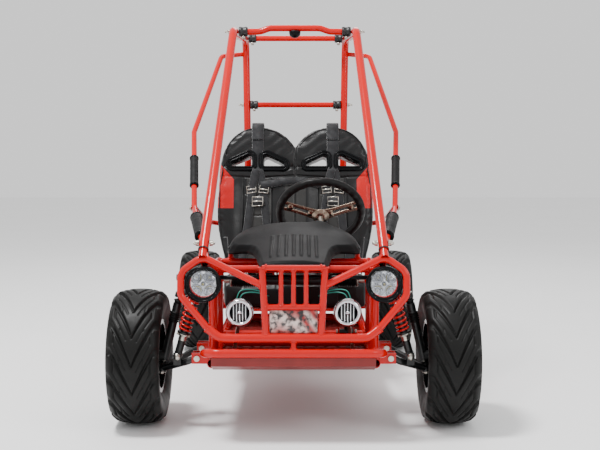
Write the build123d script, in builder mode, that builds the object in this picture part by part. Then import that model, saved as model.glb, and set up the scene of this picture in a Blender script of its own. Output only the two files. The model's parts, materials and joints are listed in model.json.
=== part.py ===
"""Two-seat off-road kart: tubular chassis and bolt-on roll cage with front double wishbones,
rack steering, and a rear swing arm that carries the engine and the live axle.

Frame: +X is the driver's left, +Y points to the rear, +Z is up. The origin is on the ground,
in the middle of the overall length and width. All sizes are in millimetres.
"""

from build123d import *
import math
import os

# ---------------------------------------------------------------- driving dimensions
overall_length = 1720
wheelbase = 1200
front_half_width = 540  # to the outside of the front tyres
rear_half_width = 470  # to the outside of the rear tyres

tyre_diameter = 406
tyre_width = 152
rim_diameter = 203
rim_wall = 4.0
flange_inset = 12.0  # of the rim inside the tyre's width, each side
flange_thickness = 3.6
flange_height = 9.0
seat_gap = 0.2  # between a tyre's beads and its rim
running_gap = 0.05  # radial clearance of a shaft in its bearing
weld_gap = 0.15  # between two tubes that are welded to each other

frame_tube = 28.0
light_tube = 22.0
loop_tube = 20.0
bumper_tube = 25.0
guard_tube = 19.0
grille_tube = 16.0
grille_bar_tube = 13.0
tube_wall = 2.0
sheet = 2.0
ear_sheet = 4.0

rail_half_spacing = 235  # lower rails, towers and upper rails
rail_height = 214
top_rail_height = 478
seat_rail_half_spacing = 268
seat_rail_height = 262
tower_front_y = -700
tower_rear_y = -500
rear_tower_y = 500
rear_bar_height = 626
rear_guard_height = 400

arm_reach = 115  # pivot to ball joint, sideways
arm_drop = 50  # pivot to ball joint, downwards, with the wheel hanging
lower_pivot_x = 285
lower_pivot_z = rail_height
upper_ball_x = 345
upper_ball_z = 388
lower_bush_spread = 80  # from the axle line to each lower bush
upper_bush_spread = 28
arm_straight = 32  # from a bush, before the bar turns to the ball joint
arm_tube = 20.0
upper_arm_tube = 18.0
bush_length = 30
bush_diameter = 24
pivot_bolt = 10.0
ball_diameter = 18.0
ball_gap = 0.4
socket_height = 14
stud_diameter = 10.0
upright_tube = 26.0
upright_start = 30  # from the lower ball up the kingpin to the upright
spindle_diameter = 20.0
steering_arm_length = 65
steering_arm_drop = 20  # below the tie rod's outer centre
tie_outer_x = 348
tie_outer_z = 376
tie_rod_tube = 12.0

shock_y_offset = -65  # ahead of the front axle
shock_lower_x, shock_lower_z = 345, 216
shock_upper_x, shock_upper_z = 285, 428
damper_diameter = 23.0
damper_length = 150
rear_damper_length = 215
damper_bore = 15.0
shock_rod_diameter = 12.0
shock_eye_diameter = 26.0
shock_eye_width = 24.0
spring_diameter = 41.0
spring_wire = 6.0
spring_start = 74
rear_spring_start = 110
seat_thickness = 4.0

wheel_centre_x, wheel_centre_y, wheel_centre_z = 89, -110, 609
wheel_rake = 40  # column above the horizontal, degrees
steering_wheel_diameter = 310
grip_diameter = 28.0
column_diameter = 18.0
column_length = 230
rack_height = 426
rack_diameter = 18.0
pinion_radius = 15.0
steering_travel = 80  # of the steering wheel to each side, degrees
rack_housing_diameter = 32.0
rack_housing_half = 118

swing_pivot_y, swing_pivot_z = 330, 225
swing_tube = 22.0
swing_half_width = 200
pivot_tube_half = 140
axle_diameter = 25.0
axle_half_length = 425
bearing_x = 200
sprocket_x = -75
sprocket_teeth_radius = 62.0
disc_x = 262
disc_radius = 74.0
engine_deck_height = 250
rear_shock_x = 170
rear_shock_lower_y, rear_shock_lower_z = 560, 262
rear_shock_upper_y, rear_shock_upper_z = 500, 590

hoop_front_foot = (255, -790, 545)
hoop_front_corner = (209, -130, 1228)
hoop_rear_corner = (200, 540, 1268)
hoop_rear_foot = (190, 500, 662)
hoop_bend = 60
brace_height = 1004

seat_half_width = 289
seat_recline = 13.0
seat_foot_y, seat_foot_z = 212, 372
seat_height = 560
seat_back_thickness = 62
bucket_x = 144
head_hole_offset = 60
head_hole_height = 418

brake_pedal_x, throttle_pedal_x = 40, 165
pedal_y, pedal_z = -445, 248
pedal_bush_half = 22

lamp_diameter = 104.0
lamp_x, lamp_y, lamp_z = 256, -812, 447
horn_diameter = 80.0
horn_x, horn_y, horn_z = 152, -822, 368

# ---------------------------------------------------------------- places worked out from them
front_axle_y = -wheelbase / 2
rear_axle_y = wheelbase / 2
axle_height = tyre_diameter / 2
front_wheel_x = front_half_width - tyre_width / 2
rear_wheel_x = rear_half_width - tyre_width / 2
lower_bumper_y = -overall_length / 2 + bumper_tube / 2
rear_guard_y = overall_length / 2 - frame_tube / 2

lower_pivot = Vector(lower_pivot_x, front_axle_y, lower_pivot_z)
lower_ball = lower_pivot + Vector(arm_reach, 0, -arm_drop)
upper_ball = Vector(upper_ball_x, front_axle_y, upper_ball_z)
upper_pivot = upper_ball - Vector(arm_reach, 0, -arm_drop)
tie_outer = Vector(tie_outer_x, front_axle_y + steering_arm_length, tie_outer_z)
tie_inner = tie_outer - Vector(arm_reach, 0, -arm_drop)
kingpin = (upper_ball - lower_ball).normalized()
rack_y = tie_outer.Y
rack_z = tie_inner.Z

shock_y = front_axle_y + shock_y_offset
shock_lower = Vector(shock_lower_x, shock_y, shock_lower_z)
shock_upper = Vector(shock_upper_x, shock_y, shock_upper_z)
rear_shock_lower = Vector(rear_shock_x, rear_shock_lower_y, rear_shock_lower_z)
rear_shock_upper = Vector(rear_shock_x, rear_shock_upper_y, rear_shock_upper_z)

column_axis = Vector(0, math.cos(math.radians(wheel_rake)), math.sin(math.radians(wheel_rake)))
wheel_centre = Vector(wheel_centre_x, wheel_centre_y, wheel_centre_z)
column_foot = wheel_centre - column_axis * column_length
shaft_foot = Vector(wheel_centre_x, rack_y, rack_z + rack_diameter / 2 + pinion_radius + 0.6)
shaft_axis = (column_foot - shaft_foot).normalized()
rack_travel = pinion_radius * math.radians(steering_travel)
swing_pivot = Vector(0, swing_pivot_y, swing_pivot_z)

os.makedirs("parts", exist_ok=True)


# ---------------------------------------------------------------- ways of making
def route_edges(points, bend=0.0):
    """The straight runs and the bends of a route, in order."""
    points = [Vector(*p) for p in points]
    with BuildLine(mode=Mode.PRIVATE) as route:
        if bend and len(points) > 2:
            FilletPolyline(*points, radius=bend)
        else:
            Polyline(*points)
    return route.wire().order_edges()


def rod(points, diameter, bend=0.0):
    """A solid round bar that follows straight runs joined by bends."""
    edges = route_edges(points, bend)
    with BuildPart(mode=Mode.PRIVATE) as bar:
        with BuildSketch(Plane(origin=edges[0] @ 0, z_dir=edges[0] % 0)):
            Circle(diameter / 2)
        sweep(path=Wire(edges))
    return bar.part.solid()


def cylinder(start, end, diameter):
    """A round bar between two points."""
    return rod([start, end], diameter)


def tube(points, diameter, wall=tube_wall, bend=0.0):
    """A round tube, as one hollow solid for each straight run and each bend of its route."""
    lengths = []
    for edge in route_edges(points, bend):
        with BuildPart(mode=Mode.PRIVATE) as length:
            with BuildSketch(Plane(origin=edge @ 0, z_dir=edge % 0)):
                Circle(diameter / 2)
                Circle(diameter / 2 - wall, mode=Mode.SUBTRACT)
            sweep(path=edge)
        lengths.append(length.part.solid())
    return lengths


def rod_along(edge, diameter):
    """A solid round bar on one straight run or one bend."""
    with BuildPart(mode=Mode.PRIVATE) as bar:
        with BuildSketch(Plane(origin=edge @ 0, z_dir=edge % 0)):
            Circle(diameter / 2)
        sweep(path=edge)
    return bar.part.solid()


def near(a, b):
    """Whether the boxes of two solids meet."""
    p, q = a.bounding_box(), b.bounding_box()
    return all(
        low <= high
        for low, high in (
            (p.min.X, q.max.X), (q.min.X, p.max.X),
            (p.min.Y, q.max.Y), (q.min.Y, p.max.Y),
            (p.min.Z, q.max.Z), (q.min.Z, p.max.Z),
        )
    )


def trimmed(solid, others):
    """The solid cut back where others stand. The largest piece that is left is the one kept."""
    touching = [other for other in others if near(solid, other)]
    if not touching:
        return solid
    with BuildPart(mode=Mode.PRIVATE) as cut:
        add(solid)
        for other in touching:
            add(other, mode=Mode.SUBTRACT)
    return cut.part.solids().sort_by(SortBy.VOLUME)[-1]


class Weldment:
    """Tubes and plates that are welded together. Each is cut to sit on those before it."""

    def __init__(self, *standing):
        self.solids = []
        self.cutters = list(standing)

    def tube(self, points, diameter, bend=0.0, wall=tube_wall):
        """Adds one tube."""
        self.solids += [trimmed(length, self.cutters) for length in tube(points, diameter, wall, bend)]
        self.cutters += [rod_along(edge, diameter + 2 * weld_gap) for edge in route_edges(points, bend)]

    def pair(self, points, diameter, bend=0.0, wall=tube_wall):
        """Adds a tube on the left and its mirror image on the right."""
        self.tube(points, diameter, bend, wall)
        self.tube([(-Vector(*p).X, Vector(*p).Y, Vector(*p).Z) for p in points], diameter, bend, wall)

    def plate(self, solid):
        """Adds a plate or a block."""
        self.solids.append(trimmed(solid, self.cutters))

    def plates(self, solid):
        """Adds a plate and its mirror image."""
        self.plate(solid)
        self.plate(solid.mirror(Plane.YZ))


def block(low, high):
    """A box between two corners."""
    low, high = Vector(*low), Vector(*high)
    size, middle = high - low, (high + low) / 2
    with BuildPart(Plane(origin=middle), mode=Mode.PRIVATE) as made:
        Box(size.X, size.Y, size.Z)
    return made.part.solid()


def bored(solid, start, end, diameter):
    """The solid with a straight hole through it."""
    with BuildPart(mode=Mode.PRIVATE) as made:
        add(solid)
        add(cylinder(start, end, diameter), mode=Mode.SUBTRACT)
    return made.part.solid()


def joined(*solids):
    """Solids fused into one."""
    with BuildPart(mode=Mode.PRIVATE) as made:
        for solid in solids:
            add(solid)
    return made.part.solid()


def mirrored(solids):
    """The same pieces on the other side of the kart."""
    return [s.mirror(Plane.YZ) for s in solids]


def write(name, *solids):
    """One node, of one or more separate solids."""
    node = solids[0] if len(solids) == 1 else Compound(list(solids))
    node.label = name
    export_step(node, f"parts/{name}.step")


def along(axis, origin, side=Vector(1, 0, 0)):
    """A plane whose normal is axis."""
    return Plane(origin=origin, x_dir=side, z_dir=axis)


# ---------------------------------------------------------------- front bumper
bumper_top_y = lower_bumper_y + 7
loop_foot = (240, bumper_top_y + 8, 325)
loop_end = (92, bumper_top_y + 8, 449)
loop_top = (258, hoop_front_foot[1] - 8, 524)
grille_half_top, grille_half_foot = 88, 77
grille_top_z, grille_mid_z, bumper_mid_z, bumper_low_z = 500, 387, 300, 258
grille_y = bumper_top_y + 3

bumper = Weldment()
bumper.tube(
    [(-loop_foot[0], loop_foot[1], loop_foot[2]), (-206, bumper_top_y, bumper_mid_z),
     (206, bumper_top_y, bumper_mid_z), loop_foot],
    bumper_tube, bend=40,
)
bumper.tube(
    [(-rail_half_spacing, tower_front_y - 15, 236), (-264, lower_bumper_y, bumper_low_z),
     (264, lower_bumper_y, bumper_low_z), (rail_half_spacing, tower_front_y - 15, 236)],
    bumper_tube, bend=45,
)
bumper.pair(
    [(grille_half_top, grille_y, grille_top_z), (grille_half_foot, grille_y, bumper_mid_z)],
    guard_tube,
)
bumper.pair(
    [loop_foot, (318, loop_foot[1] + 14, 416), (318, loop_foot[1] + 24, 482), loop_top, loop_end],
    loop_tube, bend=38,
)
bumper.tube([(-grille_half_top, grille_y, grille_top_z - 3), (grille_half_top, grille_y, grille_top_z - 3)],
            grille_tube)
bumper.tube([(-grille_half_top, grille_y, grille_mid_z), (grille_half_top, grille_y, grille_mid_z)],
            grille_tube)
for bar_x in (-35, 0, 35):
    bumper.tube([(bar_x, grille_y, grille_top_z - 3), (bar_x, grille_y, grille_mid_z)], grille_bar_tube)
bumper.tube([(0, bumper_top_y, bumper_mid_z), (0, lower_bumper_y, bumper_low_z)], grille_tube)
hoop_foot_axis = (Vector(*hoop_front_corner) - Vector(*hoop_front_foot)).normalized()
socket_foot = Vector(*hoop_front_foot) - hoop_foot_axis * 30
socket_top = Vector(*hoop_front_foot) + hoop_foot_axis * 45
bumper.pair([socket_foot, socket_top], frame_tube - 2 * tube_wall - 1.6)
plate_half, plate_low, plate_high = 68, bumper_mid_z + 13, grille_mid_z - 8.5
bumper.plate(block((-plate_half, grille_y - sheet / 2, plate_low),
                   (plate_half, grille_y + sheet / 2, plate_high)))
write("front_bumper", *bumper.solids)

# ---------------------------------------------------------------- main frame
frame = Weldment(*bumper.cutters)
rail_tower_top = rear_bar_height + 22
frame.pair(
    [(rail_half_spacing, -772, rail_height), (rail_half_spacing, rear_tower_y, rail_height),
     (rail_half_spacing, rear_tower_y, rail_tower_top)],
    frame_tube, bend=70,
)
for cross_y in (-752, -300, 60, swing_pivot_y - 42):
    frame.tube([(-rail_half_spacing, cross_y, rail_height), (rail_half_spacing, cross_y, rail_height)],
               frame_tube)
frame.pair(
    [(250, hoop_front_foot[1] - 4, 506), (rail_half_spacing, tower_front_y - 20, top_rail_height),
     (rail_half_spacing, tower_rear_y + 20, top_rail_height), (seat_rail_half_spacing, -80, seat_rail_height),
     (seat_rail_half_spacing, 340, seat_rail_height), (rail_half_spacing, rear_tower_y, 335)],
    bumper_tube, bend=60,
)
for post_y in (tower_front_y, tower_rear_y):
    frame.pair([(rail_half_spacing, post_y, rail_height), (rail_half_spacing, post_y, top_rail_height)],
               frame_tube)
    frame.tube([(-rail_half_spacing, post_y, top_rail_height), (rail_half_spacing, post_y, top_rail_height)],
               light_tube)
for seat_bar_y in (20, 230):
    frame.tube([(-seat_rail_half_spacing, seat_bar_y, seat_rail_height),
                (seat_rail_half_spacing, seat_bar_y, seat_rail_height)], light_tube)
frame.tube([(-rail_half_spacing, rear_tower_y, rear_bar_height),
            (rail_half_spacing, rear_tower_y, rear_bar_height)], frame_tube)
seat_rest_z = 600
seat_rest_y = (
    seat_foot_y
    + (seat_rest_z - seat_foot_z) * math.tan(math.radians(seat_recline))
    + seat_back_thickness / math.cos(math.radians(seat_recline))
    + light_tube / 2 + 2
)
frame.tube(
    [(-rail_half_spacing, rear_tower_y, 560), (-rail_half_spacing, seat_rest_y, seat_rest_z),
     (rail_half_spacing, seat_rest_y, seat_rest_z), (rail_half_spacing, rear_tower_y, 560)],
    light_tube, bend=50,
)
frame.tube(
    [(-rail_half_spacing, rear_tower_y, rear_guard_height),
     (-rail_half_spacing, rear_guard_y, rear_guard_height),
     (rail_half_spacing, rear_guard_y, rear_guard_height),
     (rail_half_spacing, rear_tower_y, rear_guard_height)],
    frame_tube, bend=80,
)
# The hoop under the nose cover that carries the steering column, and two posts under the cover's ears.
dash_y, dash_z, dash_half = -395, 548, 104
frame.tube(
    [(-dash_half, tower_rear_y, top_rail_height), (-dash_half, dash_y, dash_z),
     (dash_half, dash_y, dash_z), (dash_half, tower_rear_y, top_rail_height)],
    light_tube, bend=30,
)
cover_post_x, cover_post_top = 196, 518
frame.pair([(cover_post_x, tower_rear_y, top_rail_height), (cover_post_x, tower_rear_y, cover_post_top)],
           grille_tube)
# The cross tube and the ears that carry the pedals.
frame.tube([(-rail_half_spacing, pedal_y, rail_height), (rail_half_spacing, pedal_y, rail_height)],
           light_tube)
pedal_ear_offset = pedal_bush_half + 0.5 + ear_sheet / 2
for pedal_x in (brake_pedal_x, throttle_pedal_x):
    for ear_x in (pedal_x - pedal_ear_offset, pedal_x + pedal_ear_offset):
        pedal_ear = block((ear_x - ear_sheet / 2, pedal_y - 12, rail_height),
                          (ear_x + ear_sheet / 2, pedal_y + 12, pedal_z + 12))
        frame.plate(bored(pedal_ear, (ear_x - 10, pedal_y, pedal_z), (ear_x + 10, pedal_y, pedal_z),
                          pivot_bolt + 2 * running_gap))
# The sleeve that carries the steering column, and its strut from the dash tube.
sleeve_middle = wheel_centre - column_axis * 110
sleeve = bored(
    cylinder(sleeve_middle - column_axis * 20, sleeve_middle + column_axis * 20, 34),
    sleeve_middle - column_axis * 30, sleeve_middle + column_axis * 30, column_diameter + 2 * running_gap,
)
frame.plate(sleeve)
frame.cutters.append(cylinder(sleeve_middle - column_axis * 20, sleeve_middle + column_axis * 20,
                              34 + 2 * weld_gap))
frame.tube([(wheel_centre_x, dash_y, dash_z), (wheel_centre_x, sleeve_middle.Y, sleeve_middle.Z + 18)],
           grille_tube)
# Sockets for the rear feet of the roll cage.
rear_leg_axis = (Vector(*hoop_rear_corner) - Vector(*hoop_rear_foot)).normalized()
frame.pair(
    [Vector(*hoop_rear_foot) - rear_leg_axis * 36, Vector(*hoop_rear_foot) + rear_leg_axis * 45],
    frame_tube - 2 * tube_wall - 1.6,
)


def ear(x_range, y, z_range, hole_x, hole_z):
    """A pivot plate across the kart's length, with its bolt hole."""
    plate = block((x_range[0], y - ear_sheet / 2, z_range[0]),
                  (x_range[1], y + ear_sheet / 2, z_range[1]))
    return bored(plate, (hole_x, y - 10, hole_z), (hole_x, y + 10, hole_z), pivot_bolt + 2 * running_gap)


ear_offset = bush_length / 2 + 0.5 + ear_sheet / 2
for bush_y in (front_axle_y - lower_bush_spread, front_axle_y + lower_bush_spread):
    for ear_y in (bush_y - ear_offset, bush_y + ear_offset):
        frame.plates(ear((rail_half_spacing + 8, lower_pivot.X + 15), ear_y,
                         (lower_pivot.Z - 16, lower_pivot.Z + 16), lower_pivot.X, lower_pivot.Z))
for bush_y in (front_axle_y - upper_bush_spread, front_axle_y + upper_bush_spread):
    for ear_y in (bush_y - ear_offset, bush_y + ear_offset):
        frame.plates(ear((upper_pivot.X - 15, upper_pivot.X + 15), ear_y,
                         (upper_pivot.Z - 14, top_rail_height), upper_pivot.X, upper_pivot.Z))
shock_ear_y = shock_y - shock_eye_width / 2 - 10
frame.plates(ear((rail_half_spacing, shock_upper.X + 15), shock_ear_y,
                 (shock_upper.Z - 16, shock_upper.Z + 16), shock_upper.X, shock_upper.Z))
# Ears for the swing arm's pivot and for the tops of the rear shocks.
swing_ear = bored(
    block((pivot_tube_half + 1, swing_pivot_y - 48, swing_pivot_z - 22),
          (pivot_tube_half + 1 + ear_sheet, swing_pivot_y + 22, swing_pivot_z + 22)),
    (0, swing_pivot_y, swing_pivot_z), (300, swing_pivot_y, swing_pivot_z), 16 + 2 * running_gap,
)
frame.plates(swing_ear)
for side_x in (rear_shock_x - 16.5, rear_shock_x + 16.5):
    frame.plates(bored(
        block((side_x - 2, rear_shock_upper_y - 16, rear_shock_upper_z - 16),
              (side_x + 2, rear_shock_upper_y + 16, rear_bar_height)),
        (side_x - 10, rear_shock_upper_y, rear_shock_upper_z),
        (side_x + 10, rear_shock_upper_y, rear_shock_upper_z), pivot_bolt + 2 * running_gap,
    ))
# Saddles that hold the steering rack to the rear tower's cross tube.
rack_cutter = cylinder((-200, rack_y, rack_z), (200, rack_y, rack_z), rack_housing_diameter + 2 * weld_gap)
frame.cutters.append(rack_cutter)
for saddle_x in (-66, 40):
    frame.plate(block((saddle_x, rack_y - 4, rack_z + 4),
                      (saddle_x + ear_sheet, tower_rear_y, top_rail_height)))
write("main_frame", *frame.solids)

# ---------------------------------------------------------------- floor pan
pan_top = rail_height - frame_tube / 2 - 0.5
pan_rear_y, pan_knee_y, lip_y = 90, -778, lower_bumper_y + 4
lip_top = bumper_low_z - bumper_tube / 2 - 1.5
with BuildPart() as floor_pan:
    with BuildSketch(Plane.YZ.offset(-(rail_half_spacing - 4))):
        with BuildLine():
            Polyline(
                (pan_rear_y, pan_top), (pan_knee_y, pan_top), (lip_y, pan_top + 22), (lip_y, lip_top),
                (lip_y - sheet, lip_top), (lip_y - sheet, pan_top + 21), (pan_knee_y - 0.6, pan_top - sheet),
                (pan_rear_y, pan_top - sheet), close=True,
            )
        make_face()
    extrude(amount=2 * (rail_half_spacing - 4))
write("floor_pan", floor_pan.part.solid())

# ---------------------------------------------------------------- roll cage
hoop_points = [hoop_front_foot, hoop_front_corner, hoop_rear_corner, hoop_rear_foot]
left_hoop = tube(hoop_points, frame_tube, bend=hoop_bend)
write("side_hoops", *left_hoop, *mirrored(left_hoop))
hoop_cutters = [rod(hoop_points, frame_tube + 2 * weld_gap, hoop_bend)]
hoop_cutters += mirrored(hoop_cutters)


def on_line(a, b, share):
    """The point at a share of the way from a to b."""
    return Vector(*a) + (Vector(*b) - Vector(*a)) * share


collar_diameter, collar_length = 33.0, 30
front_bar_middle = on_line(hoop_front_corner, hoop_rear_corner, 0.09)
rear_bar_middle = on_line(hoop_front_corner, hoop_rear_corner, 0.9)
brace_share = (hoop_rear_corner[2] - brace_height) / (hoop_rear_corner[2] - hoop_rear_foot[2])
brace_middle = on_line(hoop_rear_corner, hoop_rear_foot, brace_share)
guard_top_share = 0.1
guard_top = on_line(hoop_rear_corner, hoop_rear_foot, guard_top_share)
bars, collars = [], []
for end, rise in ((front_bar_middle, 12), (rear_bar_middle, 0), (brace_middle, 0)):
    inner = end.X - frame_tube / 2 - 0.3
    route = [(-inner, end.Y, end.Z), (-inner * 0.62, end.Y, end.Z),
             (-inner * 0.45, end.Y, end.Z + rise), (inner * 0.45, end.Y, end.Z + rise),
             (inner * 0.62, end.Y, end.Z), (inner, end.Y, end.Z)]
    if not rise:
        route = [route[0], route[-1]]
    bars += tube(route, light_tube, bend=60 if rise else 0)
    for side in (1, -1):
        outside = cylinder((side * (inner - 1), end.Y, end.Z),
                           (side * (inner - 1 - collar_length), end.Y, end.Z), collar_diameter)
        collars.append(bored(outside, (side * (inner + 5), end.Y, end.Z),
                             (side * (inner - 60), end.Y, end.Z), light_tube + 2 * weld_gap))
write("roof_crossbars", *bars)

# ---------------------------------------------------------------- side guards
guard_start = Vector(guard_top.X + frame_tube / 2 + 0.3, guard_top.Y, guard_top.Z)
guard_points = [guard_start, (292, 452, 1192), (367, 92, 888), (339, -205, 628), (262, -610, 497)]
guard_link = [(343, -186, 633), (342, 150, 575), (334, 380, 540), (rail_half_spacing, rear_tower_y, 515)]
guards = Weldment(*hoop_cutters, *frame.cutters)
guards.pair(guard_points, guard_tube, bend=45, wall=1.5)
guards.pair(guard_link, guard_tube, bend=25, wall=1.5)
write("side_guards", *guards.solids)

guard_run = (Vector(*guard_points[1]) - guard_start).normalized()
guard_sleeve = bored(
    cylinder(guard_start + guard_run * 14, guard_start + guard_run * (14 + collar_length * 0.8),
             collar_diameter - 4),
    guard_start - guard_run * 5, guard_start + guard_run * 60, guard_tube + 2 * weld_gap,
)
write("cage_clamps", *collars, guard_sleeve, guard_sleeve.mirror(Plane.YZ))


def pad(a, b, start, end, diameter):
    """A foam sleeve on the run from a to b, between two shares of it."""
    low, high = on_line(a, b, start), on_line(a, b, end)
    axis = (high - low).normalized()
    return bored(cylinder(low, high, diameter), low - axis * 5, high + axis * 5, guard_tube + 2 * weld_gap)


upper_pad = pad(guard_points[2], guard_points[3], 0.36, 0.72, 30)
lower_pad = pad(guard_points[3], guard_points[4], 0.2, 0.58, 40)
write("guard_pads", upper_pad, lower_pad, *mirrored([upper_pad, lower_pad]))

# ---------------------------------------------------------------- front suspension
def ball_ring(centre, axis, outer):
    """The eye at the end of an arm, in which a ball joint's ball sits."""
    low, high = centre - axis * socket_height / 2, centre + axis * socket_height / 2
    hole = cylinder(low - axis * 10, high + axis * 10, ball_diameter + 2 * ball_gap)
    return cylinder(low, high, outer), hole


def arm(pivot, ball, spread, tube_diameter, ring_diameter):
    """A wishbone of two bars, with a bush at each inner end and a ball joint's eye at the outer one."""
    ring, hole = ball_ring(ball, kingpin, ring_diameter)
    holes = [hole]
    bodies = [ring]
    for side in (-1, 1):
        centre = Vector(pivot.X, pivot.Y + side * spread, pivot.Z)
        half = Vector(0, bush_length / 2, 0)
        bodies.append(cylinder(centre - half, centre + half, bush_diameter))
        turn = centre + (ball - pivot).normalized() * arm_straight
        end = ball - (ball - turn).normalized() * (ring_diameter / 2 - 3)
        bodies.append(rod([centre, turn, end], tube_diameter, 10))
        holes.append(cylinder(centre - half * 2, centre + half * 2, pivot_bolt + 2 * running_gap))
    with BuildPart(mode=Mode.PRIVATE) as made:
        for body in bodies:
            add(body)
        for hole in holes:
            add(hole, mode=Mode.SUBTRACT)
    return made.part.solid()


lower_arm = arm(lower_pivot, lower_ball, lower_bush_spread, arm_tube, 30)
# The clevis and pin for the shock's lower eye, welded on top of the front bar.
clevis_half = shock_eye_width / 2 + 0.5 + ear_sheet
clevis_floor = shock_lower.Z - shock_eye_diameter / 2 - 1.5
clevis_parts = [block((shock_lower.X - 11, shock_y - clevis_half, clevis_floor - 12),
                      (shock_lower.X + 11, shock_y + clevis_half, clevis_floor))]
for low_y in (shock_y - clevis_half, shock_y + clevis_half - ear_sheet):
    clevis_parts.append(block((shock_lower.X - 11, low_y, clevis_floor - 1),
                              (shock_lower.X + 11, low_y + ear_sheet, shock_lower.Z + 11)))
clevis_parts.append(cylinder((shock_lower.X, shock_y - clevis_half - 5, shock_lower.Z),
                             (shock_lower.X, shock_y + clevis_half + 5, shock_lower.Z), pivot_bolt))
lower_arm = joined(lower_arm, *clevis_parts)
write("lower_arm_left", lower_arm)
write("lower_arm_right", lower_arm.mirror(Plane.YZ))

upper_arm = arm(upper_pivot, upper_ball, upper_bush_spread, upper_arm_tube, 28)
write("upper_arm_left", upper_arm)
write("upper_arm_right", upper_arm.mirror(Plane.YZ))

with BuildPart() as ball_stud:
    with Locations(lower_ball):
        Sphere(ball_diameter / 2)
    add(cylinder(lower_ball, lower_ball + kingpin * (upright_start + 22), stud_diameter * 0.8))
write("lower_ball_joint_left", ball_stud.part.solid())
write("lower_ball_joint_right", ball_stud.part.solid().mirror(Plane.YZ))

spindle_root_share = (axle_height - lower_ball.Z) / (upper_ball.Z - lower_ball.Z)
spindle_root = lower_ball + (upper_ball - lower_ball) * spindle_root_share
hub_half = 30
spindle_end_x = front_wheel_x + hub_half + 18
steering_arm_z = tie_outer.Z - steering_arm_drop
steering_arm_root = lower_ball + (upper_ball - lower_ball) * (
    (steering_arm_z - lower_ball.Z) / (upper_ball.Z - lower_ball.Z)
)
with BuildPart() as knuckle:
    add(cylinder(lower_ball + kingpin * upright_start, upper_ball - kingpin * 26, upright_tube))
    add(cylinder(upper_ball - kingpin * 27, upper_ball, stud_diameter * 0.8))
    with Locations(upper_ball):
        Sphere(ball_diameter / 2)
    add(cylinder(spindle_root, (front_wheel_x - hub_half - 3, front_axle_y, axle_height), 32))
    add(cylinder(spindle_root, (spindle_end_x, front_axle_y, axle_height), spindle_diameter))
    with BuildSketch(along(kingpin, Vector(tie_outer.X, front_axle_y, steering_arm_z))):
        with Locations((0, steering_arm_length / 2)):
            Rectangle(18, steering_arm_length)
        with Locations((0, steering_arm_length)):
            Circle(11)
    extrude(amount=-9)
    add(cylinder(lower_ball + kingpin * 12, lower_ball + kingpin * (upright_start + 24),
                 stud_diameter * 0.8 + 2 * running_gap), mode=Mode.SUBTRACT)
left_knuckle = knuckle.part.solids().sort_by(SortBy.VOLUME)[-1]
write("knuckle_left", left_knuckle)
write("knuckle_right", left_knuckle.mirror(Plane.YZ))


# ---------------------------------------------------------------- wheels
def tyre():
    """A tyre about the X axis, centred on the origin."""
    bead, half, crown = rim_diameter / 2 + seat_gap, tyre_width / 2, tyre_diameter / 2
    wall = 9
    seat = half - flange_inset - flange_thickness - seat_gap
    lip = bead + flange_height + seat_gap
    with BuildPart(mode=Mode.PRIVATE) as made:
        with BuildSketch(Plane.XY):
            with BuildLine():
                Line((seat, bead), (seat, lip))
                Spline((seat, lip), (half, (lip + crown) / 2 - 6), (half - 20, crown - 6),
                       tangents=[(1.0, 0.25), (-1.0, 0.6)])
                ThreePointArc((half - 20, crown - 6), (0, crown), (20 - half, crown - 6))
                Spline((20 - half, crown - 6), (-half, (lip + crown) / 2 - 6), (-seat, lip),
                       tangents=[(-1.0, -0.6), (1.0, -0.25)])
                Polyline((-seat, lip), (-seat, bead), (wall - seat, bead), (wall - seat, lip))
                Spline((wall - seat, lip), (wall - half, (lip + crown) / 2 - 6),
                       (wall + 20 - half, crown - 6 - wall), tangents=[(-1.0, 0.25), (1.0, 0.6)])
                ThreePointArc((wall + 20 - half, crown - 6 - wall), (0, crown - wall - 3),
                              (half - 20 - wall, crown - 6 - wall))
                Spline((half - 20 - wall, crown - 6 - wall), (half - wall, (lip + crown) / 2 - 6),
                       (seat - wall, lip), tangents=[(1.0, -0.6), (-1.0, -0.25)])
                Polyline((seat - wall, lip), (seat - wall, bead), (seat, bead))
            make_face()
        revolve(axis=Axis.X)
    return made.part.solid()


def rim(bore_diameter, hub_length, face_x):
    """A pressed steel wheel about the X axis, with its disc at face_x."""
    bead, half = rim_diameter / 2, tyre_width / 2 - flange_inset
    rise = bead + flange_height
    hub_radius = bore_diameter / 2 + 12
    with BuildPart(mode=Mode.PRIVATE) as made:
        with BuildSketch(Plane.XY):
            with BuildLine():
                Polyline(
                    (-half, rise), (-half + flange_thickness, rise), (-half + flange_thickness, bead),
                    (-half + 26, bead), (-half + 34, bead - 14), (half - 34, bead - 14), (half - 26, bead),
                    (half - flange_thickness, bead), (half - flange_thickness, rise), (half, rise),
                    (half, bead - rim_wall), (half - 28, bead - rim_wall),
                    (half - 36, bead - 14 - rim_wall), (face_x + rim_wall + 8, bead - 14 - rim_wall),
                    (face_x + rim_wall, bead - 24 - rim_wall), (face_x + rim_wall, hub_radius + 10),
                    (face_x + rim_wall + 3, hub_radius), (hub_length / 2, hub_radius),
                    (hub_length / 2, bore_diameter / 2), (-hub_length / 2, bore_diameter / 2),
                    (-hub_length / 2, hub_radius), (face_x - 3, hub_radius), (face_x, hub_radius + 10),
                    (face_x, bead - 26 - rim_wall), (face_x - 8, bead - 14 - rim_wall),
                    (-half + 36, bead - 14 - rim_wall), (-half + 28, bead - rim_wall),
                    (-half, bead - rim_wall), close=True,
                )
            make_face()
        revolve(axis=Axis.X)
        with BuildSketch(Plane.YZ.offset(face_x - 2)):
            with PolarLocations((hub_radius + bead - 24) / 2 + 2, 6):
                Circle(9)
        extrude(amount=rim_wall + 6, mode=Mode.SUBTRACT)
    return made.part.solid()


def placed(solid, x, y, z):
    """The solid moved to a place."""
    return solid.moved(Location((x, y, z)))


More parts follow.
